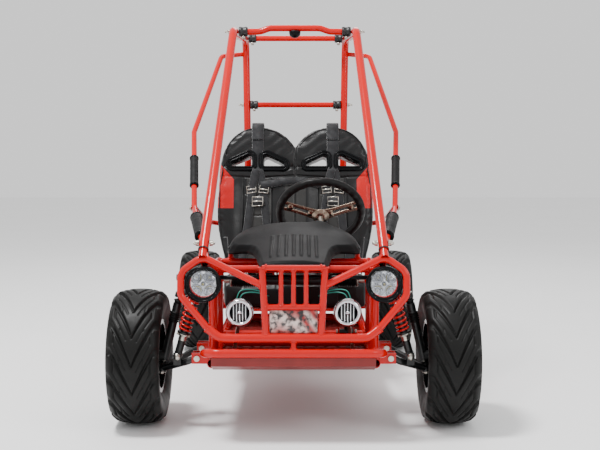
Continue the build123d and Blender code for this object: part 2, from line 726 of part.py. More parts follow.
one_tyre = tyre()
front_rim = rim(spindle_diameter + 2 * running_gap, 2 * hub_half, 14)
for side, sign in (("left", 1), ("right", -1)):
    here = (front_wheel_x, front_axle_y, axle_height)
    pieces = [placed(one_tyre, *here), placed(front_rim, *here)]
    if sign < 0:
        pieces = mirrored(pieces)
    write(f"front_tyre_{side}", pieces[0])
    write(f"front_rim_{side}", pieces[1])
rear_rim = rim(axle_diameter + 2 * seat_gap, 60, 14)
rear_here = (rear_wheel_x, rear_axle_y, axle_height)
rear_pieces = [placed(one_tyre, *rear_here), placed(rear_rim, *rear_here)]
write("rear_tyres", rear_pieces[0], rear_pieces[0].mirror(Plane.YZ))
write("rear_rims", rear_pieces[1], rear_pieces[1].mirror(Plane.YZ))


# ---------------------------------------------------------------- shock absorbers
def shock(lower, upper, bolt_axis, body_length, seat_at):
    """The damper, the rod and the spring of one shock, with eyes along bolt_axis."""
    axis = (upper - lower).normalized()
    spring_end = (upper - lower).length - shock_eye_diameter
    half = bolt_axis * shock_eye_width / 2

    def eye(centre, body):
        """The body with an eye at its end."""
        return bored(joined(body, cylinder(centre - half, centre + half, shock_eye_diameter)),
                     centre - half * 2, centre + half * 2, pivot_bolt + 2 * running_gap)

    def seat(start):
        """The disc that a spring's end rests on."""
        return cylinder(lower + axis * start, lower + axis * (start + seat_thickness), spring_diameter)

    damper = bored(
        joined(cylinder(lower, lower + axis * body_length, damper_diameter), seat(seat_at - seat_thickness)),
        lower + axis * 45, lower + axis * (body_length + 10), damper_bore,
    )
    piston_rod = joined(cylinder(upper, lower + axis * (body_length - 32), shock_rod_diameter),
                        seat(spring_end))
    low, high = lower + axis * (seat_at + 0.3), lower + axis * (spring_end - 0.3)
    spring = bored(cylinder(low, high, spring_diameter), low - axis, high + axis,
                   spring_diameter - 2 * spring_wire)
    return eye(lower, damper), eye(upper, piston_rod), spring


front_shock = shock(shock_lower, shock_upper, Vector(0, 1, 0), damper_length, spring_start)
for name, solid in zip(("shock_damper", "shock_rod", "shock_spring"), front_shock, strict=True):
    write(f"{name}_left", solid)
    write(f"{name}_right", solid.mirror(Plane.YZ))
rear_shock = shock(rear_shock_lower, rear_shock_upper, Vector(1, 0, 0), rear_damper_length, rear_spring_start)
for name, solid in zip(("rear_shock_dampers", "rear_shock_rods", "rear_springs"), rear_shock, strict=True):
    write(name, solid, solid.mirror(Plane.YZ))

# ---------------------------------------------------------------- steering
with BuildPart() as wheel_rim:
    with BuildSketch(Plane.XZ):
        with Locations(((steering_wheel_diameter - grip_diameter) / 2, 0)):
            Circle(grip_diameter / 2)
    revolve(axis=Axis.Z)
wheel_place = Location(along(column_axis, wheel_centre))
grip = wheel_rim.part.solid().moved(wheel_place)
write("steering_wheel_rim", grip)

spoke_reach = (steering_wheel_diameter - grip_diameter) / 2
with BuildPart() as wheel_spokes:
    with BuildSketch(Plane.XY.offset(-4)):
        Circle(30)
        for angle in (15, 165, 270):
            with PolarLocations(spoke_reach / 2, 1, start_angle=angle):
                Rectangle(spoke_reach, 34 if angle != 270 else 26)
    extrude(amount=5)
    with Locations((0, 0, -14)):
        Cylinder(22, 22)
    with Locations((0, 0, -14)):
        Cylinder(column_diameter / 2 + seat_gap, 24, mode=Mode.SUBTRACT)
spokes = wheel_spokes.part.solid().moved(wheel_place)
write("steering_wheel_spokes", trimmed(spokes, [grip]))

with BuildPart() as column:
    add(cylinder(wheel_centre - column_axis * 4.5, column_foot + column_axis * 16, column_diameter))
    add(cylinder(column_foot + column_axis * 16, column_foot + column_axis * 34, 26))
write("steering_column", column.part.solid())

housing_bore = rack_diameter + 2 * running_gap
tower_low, tower_high = shaft_foot - shaft_axis * 16, shaft_foot + shaft_axis * 16
pinion_half, tower_diameter, shaft_diameter = 9, 40, 16
with BuildPart() as lower_shaft:
    add(cylinder(column_foot - shaft_axis * 16, shaft_foot - shaft_axis * 12, shaft_diameter))
    add(cylinder(shaft_foot - shaft_axis * pinion_half, shaft_foot + shaft_axis * pinion_half,
                 2 * pinion_radius - 1))
    add(cylinder(column_foot - shaft_axis * 16, column_foot - shaft_axis * 34, 26))
    with Locations(column_foot):
        Sphere(9)
    add(cylinder(column_foot, column_foot - shaft_axis * 17, 12))
write("steering_lower_shaft", lower_shaft.part.solid())

with BuildPart() as rack:
    add(cylinder((-tie_inner.X + 16, rack_y, rack_z), (tie_inner.X - 16, rack_y, rack_z), rack_diameter))
write("steering_rack", rack.part.solid())

with BuildPart() as rack_housing:
    add(cylinder((-rack_housing_half, rack_y, rack_z), (rack_housing_half, rack_y, rack_z),
                 rack_housing_diameter))
    add(cylinder(tower_low, tower_high, tower_diameter))
    add(cylinder((-200, rack_y, rack_z), (200, rack_y, rack_z), housing_bore), mode=Mode.SUBTRACT)
    add(cylinder(tower_low - shaft_axis * 30, tower_high + shaft_axis * 30, shaft_diameter + 2 * running_gap),
        mode=Mode.SUBTRACT)
    add(cylinder(shaft_foot - shaft_axis * (pinion_half + 1), shaft_foot + shaft_axis * (pinion_half + 1),
                 2 * pinion_radius), mode=Mode.SUBTRACT)
write("rack_housing", rack_housing.part.solids().sort_by(SortBy.VOLUME)[-1])


def bellows():
    """A ribbed sleeve over the rack's end, closed on the housing."""
    ribs, start = 6, rack_housing_half - 8
    length = tie_inner.X - rack_travel - 14 - start
    with BuildPart(mode=Mode.PRIVATE) as made:
        with BuildSketch(Plane.XY):
            with BuildLine():
                points = [(start, rack_housing_diameter / 2 + 0.3)]
                for i in range(ribs):
                    low = start + 12 + (length - 12) * i / ribs
                    points += [(low, 19), (low + (length - 12) / ribs / 2, 25)]
                points += [(start + length, 19), (start + length, 16.5)]
                Polyline(*points, close=True)
            make_face()
        revolve(axis=Axis.X)
    return placed(made.part.solid(), 0, rack_y, rack_z)


left_bellows = bellows()
write("rack_bellows", left_bellows, left_bellows.mirror(Plane.YZ))

tie_axis = (tie_outer - tie_inner).normalized()
with BuildPart() as tie_rod:
    add(cylinder(tie_inner + tie_axis * 4, tie_outer - tie_axis * 6, tie_rod_tube))
    add(cylinder(tie_inner - Vector(0, 8, 0), tie_inner + Vector(0, 8, 0), 20))
    with BuildSketch(Plane(origin=tie_outer - Vector(0, 0, 6))):
        Circle(11)
    extrude(amount=12)
write("tie_rod_left", tie_rod.part.solid())
write("tie_rod_right", tie_rod.part.solid().mirror(Plane.YZ))


# ---------------------------------------------------------------- pedals
def pedal(x, pad_width):
    """A floor pedal on a cross pivot: tube, lever and foot plate."""
    pivot = Vector(x, pedal_y, pedal_z)
    half = Vector(pedal_bush_half, 0, 0)
    with BuildPart(mode=Mode.PRIVATE) as made:
        add(cylinder(pivot - half, pivot + half, 20))
        add(cylinder(pivot, pivot + Vector(0, -32, 106), 14))
        with Locations(Location(pivot + Vector(0, -30, 118), (16, 0, 0))):
            Box(pad_width, 6, 70)
        add(cylinder(pivot - half * 2, pivot + half * 2, pivot_bolt + 2 * running_gap), mode=Mode.SUBTRACT)
    return made.part.solid()


write("brake_pedal", pedal(brake_pedal_x, 78))
write("throttle_pedal", pedal(throttle_pedal_x, 56))

# ---------------------------------------------------------------- rear swing arm, axle and drive
swing = Weldment()
swing_bolt, pivot_tube_diameter, housing_diameter, housing_half = 16.0, 32.0, 52.0, 18
pivot_ends = [Vector(side * pivot_tube_half, swing_pivot_y, swing_pivot_z) for side in (-1, 1)]
swing.plate(bored(cylinder(*pivot_ends, pivot_tube_diameter), pivot_ends[0] * 2 - pivot_ends[1],
                  pivot_ends[1] * 2 - pivot_ends[0], swing_bolt + 2 * running_gap))
swing.cutters.append(cylinder(*pivot_ends, pivot_tube_diameter + 2 * weld_gap))
for side in (1, -1):
    inner_end = Vector(side * (bearing_x - housing_half), rear_axle_y, axle_height)
    outer_end = Vector(side * (bearing_x + housing_half), rear_axle_y, axle_height)
    swing.plate(bored(cylinder(inner_end, outer_end, housing_diameter), inner_end * 2 - outer_end,
                      outer_end * 2 - inner_end, axle_diameter + 2 * running_gap))
    swing.cutters.append(cylinder(inner_end, outer_end, housing_diameter + 2 * weld_gap))
deck_tube_z = engine_deck_height - sheet * 2 - swing_tube / 2
swing.pair([(118, swing_pivot_y, swing_pivot_z), (126, 395, swing_pivot_z),
            (swing_half_width, 465, deck_tube_z), (swing_half_width, 780, deck_tube_z)], swing_tube, bend=25)
for deck_y in (478, 768):
    swing.tube([(-swing_half_width, deck_y, deck_tube_z), (swing_half_width, deck_y, deck_tube_z)],
               swing_tube)
swing.plate(block((-68, 466, engine_deck_height - sheet * 2 + 0.2), (150, 780, engine_deck_height)))
for side_x in (rear_shock_x - 17, rear_shock_x + 17):
    lug = block((side_x - ear_sheet / 2, rear_shock_lower_y - 14, deck_tube_z),
                (side_x + ear_sheet / 2, rear_shock_lower_y + 14, rear_shock_lower_z + 14))
    swing.plates(bored(lug, (side_x - 10, rear_shock_lower_y, rear_shock_lower_z),
                       (side_x + 10, rear_shock_lower_y, rear_shock_lower_z), pivot_bolt + 2 * running_gap))
swing.plates(block((rear_shock_x - 20, rear_shock_lower_y - 14, deck_tube_z - 3.3),
                   (swing_half_width, rear_shock_lower_y + 14, deck_tube_z)))
lug_pin = cylinder((rear_shock_x - 22, rear_shock_lower_y, rear_shock_lower_z),
                   (rear_shock_x + 22, rear_shock_lower_y, rear_shock_lower_z), pivot_bolt)
swing.solids += [lug_pin, lug_pin.mirror(Plane.YZ)]
write("swing_arm", *swing.solids)

with BuildPart() as rear_axle:
    add(cylinder((-axle_half_length, rear_axle_y, axle_height), (axle_half_length, rear_axle_y, axle_height),
                 axle_diameter))
write("rear_axle", rear_axle.part.solid())

with BuildPart() as sprocket:
    with BuildSketch(Plane.YZ.offset(sprocket_x - 3)):
        with Locations((rear_axle_y, axle_height)):
            Circle(sprocket_teeth_radius - 4)
            with PolarLocations(sprocket_teeth_radius - 6, 36):
                Rectangle(12, 4)
            Circle(axle_diameter / 2 + seat_gap, mode=Mode.SUBTRACT)
            with PolarLocations(40, 5):
                Circle(9, mode=Mode.SUBTRACT)
    extrude(amount=6)
    with BuildSketch(Plane.YZ.offset(sprocket_x + 3)):
        with Locations((rear_axle_y, axle_height)):
            Circle(24)
            Circle(axle_diameter / 2 + seat_gap, mode=Mode.SUBTRACT)
    extrude(amount=18)
write("drive_sprocket", sprocket.part.solid())

with BuildPart() as brake_disc:
    with BuildSketch(Plane.YZ.offset(disc_x - 2)):
        with Locations((rear_axle_y, axle_height)):
            Circle(disc_radius)
            Circle(axle_diameter / 2 + seat_gap, mode=Mode.SUBTRACT)
            with PolarLocations(disc_radius - 14, 16):
                Circle(3.5, mode=Mode.SUBTRACT)
            with PolarLocations(36, 5):
                Circle(8, mode=Mode.SUBTRACT)
    extrude(amount=4)
    with BuildSketch(Plane.YZ.offset(disc_x + 2)):
        with Locations((rear_axle_y, axle_height)):
            Circle(25)
            Circle(axle_diameter / 2 + seat_gap, mode=Mode.SUBTRACT)
    extrude(amount=20)
write("brake_disc", brake_disc.part.solid())

caliper_front_y = rear_axle_y - 70
caliper_low = Vector(disc_x - 22, caliper_front_y, axle_height + 20)
caliper_size = Vector(44, 40, 52)
caliper = block(caliper_low, caliper_low + caliper_size)
with BuildPart() as brake_caliper:
    add(caliper)
    with BuildSketch(Plane.YZ.offset(disc_x - 4.5)):
        with Locations((rear_axle_y, axle_height)):
            Circle(disc_radius + 3)
    extrude(amount=9, mode=Mode.SUBTRACT)
    add(block((swing_half_width + swing_tube / 2 + 0.3, caliper_front_y, deck_tube_z - 8),
              (disc_x - 21, caliper_front_y + 28, deck_tube_z + 8)))
write("brake_caliper", brake_caliper.part.solids().sort_by(SortBy.VOLUME)[-1])

# ---------------------------------------------------------------- engine
crank_y, crank_z = 610, 338
engine_low_x, engine_high_x = -52, 92
with BuildPart() as engine_block:
    add(block((engine_low_x, 540, engine_deck_height + 0.3), (engine_high_x, 690, 392)))
    with Locations(Location((20, 716, 372), (-65, 0, 0))):
        Box(128, 92, 104)
    add(cylinder((engine_high_x - 1, crank_y, crank_z), (engine_high_x + 52, crank_y, crank_z), 176))
    add(cylinder((engine_low_x + 1, crank_y, crank_z), (engine_low_x - 14, crank_y, crank_z), 90))
write("engine_block", engine_block.part.solid())

with BuildPart() as fuel_tank:
    with BuildSketch(Plane.XY.offset(440)):
        with Locations((30, 622)):
            RectangleRounded(190, 168, 34)
    extrude(amount=74)
    fillet(fuel_tank.faces().sort_by(Axis.Z)[-1].edges(), 18)
    with Locations((30, 622, 520)):
        Cylinder(22, 16)
write("fuel_tank", fuel_tank.part.solid())

with BuildPart() as muffler:
    with BuildSketch(Plane.YZ.offset(-100)):
        with Locations((764, 494)):
            RectangleRounded(84, 74, 30)
    extrude(amount=150)
    add(cylinder((-98, 770, 506), (-128, 770, 506), 22))
write("muffler", muffler.part.solid())

cover_x = -84
with BuildPart() as belt_cover:
    with BuildSketch(Plane.YZ.offset(cover_x - 52)):
        with Locations((crank_y - 60, crank_z)):
            SlotOverall(290, 156)
    extrude(amount=48)
    fillet(belt_cover.faces().sort_by(Axis.X)[0].edges(), 12)
write("belt_cover", belt_cover.part.solid())

chain_width, chain_height = 7.0, 9.0
driver_y, driver_z, driver_radius = 500, 300, 24.0


def chain_loop(grow):
    """The closed outline around both sprockets."""
    with BuildSketch(Plane.YZ.offset(sprocket_x - chain_width / 2), mode=Mode.PRIVATE) as outline:
        with Locations((rear_axle_y, axle_height)):
            Circle(sprocket_teeth_radius + grow)
        with Locations((driver_y, driver_z)):
            Circle(driver_radius + grow)
        make_hull()
    return outline.sketch


with BuildPart() as drive_chain:
    extrude(chain_loop(chain_height), amount=chain_width)
    extrude(chain_loop(0.4), amount=chain_width, mode=Mode.SUBTRACT)
write("drive_chain", drive_chain.part.solid())

# ---------------------------------------------------------------- seats
seat_plane = Plane(
    origin=(0, seat_foot_y, seat_foot_z), x_dir=(1, 0, 0),
    z_dir=(0, -math.cos(math.radians(seat_recline)), math.sin(math.radians(seat_recline))),
)
shoulder_radius = seat_half_width - bucket_x - 4
notch_height = seat_height - 82
notch_radius = (bucket_x**2 + (seat_height - notch_height) ** 2) / (2 * (seat_height - notch_height))


def head_hole(x, lean, grow):
    """The outline of one headrest opening: tall towards the bucket's middle, low at its outer end."""
    with BuildSketch(seat_plane) as hole:
        with BuildLine():
            Polyline(
                (x + lean * (44 + grow), head_hole_height - 22 - grow),
                (x - lean * (40 + grow), head_hole_height - 22 - grow),
                (x - lean * (40 + grow), head_hole_height + 22 + grow * 1.2),
                (x - lean * (24 + grow * 0.4), head_hole_height + 26 + grow * 1.2),
                (x + lean * (44 + grow), head_hole_height - 6 + grow), close=True,
            )
        make_face()
        fillet(hole.vertices(), 7 + grow * 0.3)
    return hole.sketch


holes = [(side * bucket_x + lean * head_hole_offset, lean) for side in (-1, 1) for lean in (-1, 1)]
with BuildPart() as seat_back:
    with BuildSketch(seat_plane) as outline:
        with BuildLine():
            top = (bucket_x, seat_height)
            side_top = (bucket_x + shoulder_radius, seat_height - shoulder_radius)
            Line((0, 0), (262, 0))
            Spline((262, 0), (299, 150), (302, 290), side_top,
                   tangents=[(0.25, 1), (-0.12, 1)])
            RadiusArc(side_top, top, -shoulder_radius)
            RadiusArc(top, (0, notch_height), -notch_radius)
            mirror(about=Plane.YZ)
        make_face()
    extrude(amount=-seat_back_thickness)
    for x, lean in holes:
        extrude(head_hole(x, lean, 0), amount=-seat_back_thickness, mode=Mode.SUBTRACT)
write("seat_back", seat_back.part.solid())

bezels = []
for x, lean in holes:
    with BuildPart() as bezel:
        extrude(head_hole(x, lean, 15), amount=8)
        extrude(head_hole(x, lean, 0), amount=8, mode=Mode.SUBTRACT)
    bezels.append(bezel.part.solid().moved(Location(seat_plane.z_dir * 0.3)))
write("headrest_bezels", *bezels)

seat_base_half = seat_rail_half_spacing - bumper_tube / 2 - 4
seat_base_low = seat_rail_height + bumper_tube / 2 + 0.5
with BuildPart() as seat_base:
    with BuildSketch(Plane.YZ.offset(-seat_base_half)):
        with BuildLine():
            Polyline((-100, seat_base_low), (198, seat_base_low), (198, 352), (150, 350), (-60, 372),
                     (-100, 340), close=True)
        make_face()
    extrude(amount=2 * seat_base_half)
write("seat_base", seat_base.part.solid())

belt_width, belt_thickness = 46.0, 2.4


def strap(x0, v0, x1, v1, lift):
    """A straight run of webbing that stands in front of the seat back."""
    a, b = Vector(x0, v0), Vector(x1, v1)
    with BuildPart(mode=Mode.PRIVATE) as made:
        with BuildSketch(seat_plane.offset(lift)):
            angle = math.degrees(math.atan2(b.Y - a.Y, b.X - a.X))
            with Locations(Location(((a.X + b.X) / 2, (a.Y + b.Y) / 2), angle)):
                Rectangle((b - a).length, belt_width)
        extrude(amount=belt_thickness)
    return made.part.solid()


belts = []
for side in (-1, 1):
    centre = side * bucket_x
    belts.append(strap(centre, seat_height - 20, centre, 345, 10))
    belts.append(strap(centre - 34, 338, centre - 62, 40, 14))
    belts.append(strap(centre + 34, 338, centre + 62, 40, 18))
    belts.append(block((centre - 112, 62, 374.5), (centre + 112, 108, 377)))
    belts.append(block((centre - 26, 52, 378), (centre + 26, 118, 392)))
write("seat_belts", *belts)

# ---------------------------------------------------------------- nose cover
cover_rear = Vector(0, -408, 596)
cover_front = Vector(0, -800, 507)
cover_slope = (cover_front - cover_rear).normalized()
cover_plane = Plane(origin=cover_rear, x_dir=(1, 0, 0), z_dir=Vector(1, 0, 0).cross(-cover_slope))
cover_length = (cover_front - cover_rear).length
cover_wall = 3.0
cover_half, cover_crown, cover_skirt = 206, 46, 64
with BuildPart() as nose_cover:
    with BuildSketch(Plane(origin=cover_rear, x_dir=(1, 0, 0), z_dir=cover_slope)):
        with BuildLine():
            inner_half = cover_half - cover_wall
            ThreePointArc((-cover_half, -cover_crown), (0, 0), (cover_half, -cover_crown))
            Polyline((cover_half, -cover_crown), (cover_half, -cover_skirt), (inner_half, -cover_skirt),
                     (inner_half, -cover_crown - cover_wall))
            ThreePointArc((inner_half, -cover_crown - cover_wall), (0, -cover_wall),
                          (-inner_half, -cover_crown - cover_wall))
            Polyline((-inner_half, -cover_crown - cover_wall), (-inner_half, -cover_skirt),
                     (-cover_half, -cover_skirt), (-cover_half, -cover_crown))
        make_face()
    extrude(amount=cover_length)
    with BuildSketch(cover_plane) as plan:
        with BuildLine():
            Polyline((-150, 0), (-cover_half, -50), (-cover_half, -118), (-150, -190), (-88, -cover_length),
                     (88, -cover_length), (150, -190), (cover_half, -118), (cover_half, -50), (150, 0),
                     close=True)
        make_face()
        fillet(plan.vertices(), 26)
    extrude(amount=100, both=True, mode=Mode.INTERSECT)
write("nose_cover", trimmed(nose_cover.part.solid(), frame.cutters))

# ---------------------------------------------------------------- lamps and horns
lamp_depth = 58


def lamp():
    """One round headlamp: a bucket with a lens set in its mouth, facing forwards."""
    with BuildPart(mode=Mode.PRIVATE) as made:
        with BuildSketch(Plane.XY):
            with BuildLine():
                Polyline((0, 3), (lamp_diameter / 2 - 7, 3), (lamp_diameter / 2 - 5, 0),
                         (lamp_diameter / 2, 0), (lamp_diameter / 2, 22), (lamp_diameter / 2 - 6, 26),
                         (30, lamp_depth), (0, lamp_depth), close=True)
            make_face()
        revolve(axis=Axis.Y)
    return placed(made.part.solid(), lamp_x, lamp_y, lamp_z)


lamp_bar_y = lamp_y + lamp_depth + 10
left_lamp = lamp()
lamp_bar = cylinder((-336, lamp_bar_y, lamp_z + 12), (336, lamp_bar_y, lamp_z + 12), 13)
write("headlamps", *[trimmed(s, frame.cutters) for s in (left_lamp, left_lamp.mirror(Plane.YZ), lamp_bar)])

with BuildPart() as horn:
    with BuildSketch(Plane.XY):
        with BuildLine():
            Polyline((0, 4), (horn_diameter / 2 - 8, 4), (horn_diameter / 2 - 4, 0), (horn_diameter / 2, 4),
                     (horn_diameter / 2, 20), (26, 34), (0, 34), close=True)
        make_face()
    revolve(axis=Axis.Y)
left_horn = placed(horn.part.solid(), horn_x, horn_y, horn_z)
horn_stay = cylinder((horn_x, horn_y + 34.2, horn_z), (horn_x + 20, tower_front_y - 17, horn_z - 118), 12)
horn_parts = [left_horn, horn_stay, *mirrored([left_horn, horn_stay])]
write("horns", *[trimmed(s, frame.cutters) for s in horn_parts])

# ---------------------------------------------------------------- bolts
bolts = []


def bolt(start, end, diameter, head, head_length=7.0):
    """A bolt with a round head at its start and a nut at its end."""
    start, end = Vector(*start), Vector(*end)
    axis = (end - start).normalized()
    return joined(
        cylinder(start, end, diameter),
        cylinder(start, start - axis * head_length, head),
        cylinder(end, end + axis * head_length, head),
    )


reach = ear_offset + ear_sheet / 2 + 0.3
for pivot, spread in ((lower_pivot, lower_bush_spread), (upper_pivot, upper_bush_spread)):
    for side in (-1, 1):
        middle = Vector(pivot.X, pivot.Y + side * spread, pivot.Z)
        bolts.append(bolt(middle - Vector(0, reach, 0), middle + Vector(0, reach, 0), pivot_bolt, 17, 6))
bolts.append(bolt((shock_upper.X, shock_ear_y - ear_sheet / 2 - 0.3, shock_upper.Z),
                  (shock_upper.X, shock_y + shock_eye_width / 2 + 0.5, shock_upper.Z), pivot_bolt, 17, 6))
foot_bolt = Vector(*hoop_front_foot) + hoop_foot_axis * 22
half_hoop = frame_tube / 2 + 1.2
bolts.append(joined(
    cylinder(foot_bolt + Vector(half_hoop, 0, 0), foot_bolt + Vector(half_hoop + 9, 0, 0), 16),
    cylinder(foot_bolt + Vector(half_hoop + 9, 0, 0), foot_bolt + Vector(half_hoop + 15, 0, 0), 9),
))
bolts.append(joined(
    cylinder(foot_bolt - Vector(half_hoop, 0, 0), foot_bolt - Vector(half_hoop + 9, 0, 0), 16),
    cylinder(foot_bolt - Vector(half_hoop + 9, 0, 0), foot_bolt - Vector(half_hoop + 15, 0, 0), 9),
))
for end in (front_bar_middle, rear_bar_middle, brace_middle):
    knob = end + Vector(half_hoop, 0, 0)
    bolts.append(joined(cylinder(knob, knob + Vector(6, 0, 0), 16),
                        cylinder(knob + Vector(6, 0, 0), knob + Vector(18, 0, 0), 8)))
rear_shock_pin = bolt((rear_shock_x - 19, rear_shock_upper_y, rear_shock_upper_z),
                      (rear_shock_x + 19, rear_shock_upper_y, rear_shock_upper_z), pivot_bolt, 17, 6)
bolts.append(rear_shock_pin)
both = bolts + mirrored(bolts)
both.append(bolt((-pivot_tube_half - ear_sheet - 1.5, swing_pivot_y, swing_pivot_z),
                 (pivot_tube_half + ear_sheet + 1.5, swing_pivot_y, swing_pivot_z), 16, 28, 10))
for x in (brake_pedal_x, throttle_pedal_x):
    both.append(bolt((x - pedal_ear_offset - 3, pedal_y, pedal_z),
                     (x + pedal_ear_offset + 3, pedal_y, pedal_z), pivot_bolt, 16, 5))
write("frame_bolts", *both)
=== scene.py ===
"""The looks of a two-seat off-road kart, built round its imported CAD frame.

Everything is in metres in the kart's own frame: +X is the driver's left, +Y the rear, +Z up.
"""

import json
import math
import random

import bpy
from mathutils import Matrix, Vector
from mathutils.bvhtree import BVHTree


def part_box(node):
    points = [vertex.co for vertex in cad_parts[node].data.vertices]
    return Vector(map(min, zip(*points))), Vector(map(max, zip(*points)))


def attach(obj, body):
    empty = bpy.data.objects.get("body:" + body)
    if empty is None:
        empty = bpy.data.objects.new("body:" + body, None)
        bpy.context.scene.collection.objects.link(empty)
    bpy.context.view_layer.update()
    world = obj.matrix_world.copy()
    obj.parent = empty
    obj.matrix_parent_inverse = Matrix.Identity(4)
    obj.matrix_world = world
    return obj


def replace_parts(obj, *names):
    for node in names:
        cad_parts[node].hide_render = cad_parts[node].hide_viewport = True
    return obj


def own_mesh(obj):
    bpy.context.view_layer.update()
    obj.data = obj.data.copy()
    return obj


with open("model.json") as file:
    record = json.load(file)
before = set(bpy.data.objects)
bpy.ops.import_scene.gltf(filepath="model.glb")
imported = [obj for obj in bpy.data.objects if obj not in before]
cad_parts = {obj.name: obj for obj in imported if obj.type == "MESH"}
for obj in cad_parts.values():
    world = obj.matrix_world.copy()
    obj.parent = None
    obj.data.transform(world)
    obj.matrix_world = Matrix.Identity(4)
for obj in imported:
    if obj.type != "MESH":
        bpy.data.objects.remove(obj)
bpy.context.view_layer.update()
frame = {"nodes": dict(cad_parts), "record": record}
MM = 0.001
random.seed(7)


# ------------------------------------------------------------------ colours and materials
def to_linear(code):
    """An sRGB hex colour as the linear RGBA that shaders take."""
    channels = [int(code[i:i + 2], 16) / 255 for i in (1, 3, 5)]
    linear = [c / 12.92 if c <= 0.04045 else ((c + 0.055) / 1.055) ** 2.4 for c in channels]
    return (*linear, 1.0)


def add_node(tree, kind, inputs=None, **settings):
    """Adds one node with its settings. An input is linked when its value is a socket."""
    made = tree.nodes.new(kind)
    for key, value in settings.items():
        setattr(made, key, value)
    for key, value in (inputs or {}).items():
        if isinstance(value, bpy.types.NodeSocket):
            tree.links.new(value, made.inputs[key])
        else:
            made.inputs[key].default_value = value
    return made


def new_material(name, inputs):
    """A material with one shader whose constant inputs are set on its own sockets."""
    material = bpy.data.materials.new(name)
    material.use_nodes = True
    tree = material.node_tree
    shader = tree.nodes["Principled BSDF"]
    for key, value in inputs.items():
        shader.inputs[key].default_value = value
    place = add_node(tree, "ShaderNodeTexCoord").outputs["Object"]
    return material, tree, shader, place


def mottled(tree, shader, place, light, dark, size, roughness, detail=4.0):
    """Blends two colours, and two roughnesses, over patches of the given size in metres."""
    patches = add_node(tree, "ShaderNodeTexNoise", {"Vector": place, "Scale": 1 / size, "Detail": detail})
    mix = add_node(tree, "ShaderNodeMix",
                   {"Factor": patches.outputs["Fac"], 6: to_linear(light), 7: to_linear(dark)},
                   data_type="RGBA")
    rough = add_node(tree, "ShaderNodeMapRange",
                     {"Value": patches.outputs["Fac"], "From Min": 0.3, "From Max": 0.7,
                                                  "To Min": roughness[0], "To Max": roughness[1]})
    tree.links.new(mix.outputs[2], shader.inputs["Base Color"])
    tree.links.new(rough.outputs[0], shader.inputs["Roughness"])
    return mix


def relief(tree, shader, height, depth, strength=1.0):
    """A bump of the given depth in metres."""
    bump = add_node(tree, "ShaderNodeBump", {"Height": height, "Distance": depth, "Strength": strength})
    tree.links.new(bump.outputs["Normal"], shader.inputs["Normal"])
    return bump


def powder_coat(name, light, dark, gloss=(0.16, 0.26)):
    """Powder coat baked on steel: thick and glossy, with a faint orange peel."""
    constants = {"IOR": 1.5, "Specular IOR Level": 0.2, "Coat Weight": 0.25, "Coat Roughness": 0.06}
    material, tree, shader, place = new_material(name, constants)
    mottled(tree, shader, place, light, dark, 60 * MM, gloss)
    # The peel's real cells are about 1 mm across, and they are drawn at 2.5 mm so that they show.
    peel = add_node(tree, "ShaderNodeTexNoise", {"Vector": place, "Scale": 1 / (2.5 * MM), "Detail": 1.0})
    relief(tree, shader, peel.outputs["Fac"], 0.06 * MM)
    return material


def satin_paint(name, light, dark):
    """Sprayed satin paint, a little dusty in patches."""
    material, tree, shader, place = new_material(name, {"IOR": 1.5})
    mottled(tree, shader, place, light, dark, 25 * MM, (0.32, 0.5))
    grit = add_node(tree, "ShaderNodeTexNoise", {"Vector": place, "Scale": 1 / (1.5 * MM), "Detail": 2.0})
    relief(tree, shader, grit.outputs["Fac"], 0.05 * MM)
    return material


def moulded_rubber(name, light, dark, roughness=(0.42, 0.62), grain=1.6):
    """Moulded rubber: dull, with a fine grain and a grey bloom in patches."""
    material, tree, shader, place = new_material(name, {"IOR": 1.52, "Specular IOR Level": 0.18})
    mottled(tree, shader, place, light, dark, 30 * MM, roughness)
    pores = add_node(tree, "ShaderNodeTexNoise",
                     {"Vector": place, "Scale": 1 / (grain * MM), "Detail": 3.0})
    relief(tree, shader, pores.outputs["Fac"], 0.15 * MM)
    return material


def moulded_plastic(name, light, dark, roughness, grain, depth):
    """Injection-moulded plastic with the spark-eroded grain of its tool."""
    material, tree, shader, place = new_material(name, {"IOR": 1.49, "Specular IOR Level": 0.1})
    mottled(tree, shader, place, light, dark, 80 * MM, roughness)
    cells = add_node(tree, "ShaderNodeTexVoronoi", {"Vector": place, "Scale": 1 / (grain * MM)},
                     feature="SMOOTH_F1")
    relief(tree, shader, cells.outputs["Distance"], depth * MM)
    return material


def plated_metal(name, light, dark, roughness):
    """Bright plating, faintly blotched by handling."""
    material, tree, shader, place = new_material(name, {"Metallic": 1.0})
    mottled(tree, shader, place, light, dark, 12 * MM, roughness)
    return material


def brushed_metal(name, light, dark, roughness, direction):
    """Brushed metal: fine scratches drawn out along one direction."""
    material, tree, shader, place = new_material(name, {"Metallic": 1.0})
    # The scratches are 0.05 mm wide on the metal, and 0.6 mm here so that they show.
    stretched = add_node(tree, "ShaderNodeMapping", {"Vector": place, "Scale": direction})
    scratches = add_node(tree, "ShaderNodeTexNoise",
                         {"Vector": stretched.outputs[0], "Scale": 1 / (0.6 * MM),
                                                      "Detail": 2.0})
    mottled(tree, shader, place, light, dark, 20 * MM, roughness)
    relief(tree, shader, scratches.outputs["Fac"], 0.04 * MM)
    return material


def cast_metal(name, light, dark):
    """Sand-cast and die-cast aluminium: dull and pebbled."""
    material, tree, shader, place = new_material(name, {"Metallic": 1.0})
    mottled(tree, shader, place, light, dark, 15 * MM, (0.42, 0.6))
    pebbles = add_node(tree, "ShaderNodeTexNoise",
                       {"Vector": place, "Scale": 1 / (2.0 * MM), "Detail": 4.0})
    relief(tree, shader, pebbles.outputs["Fac"], 0.25 * MM)
    return material


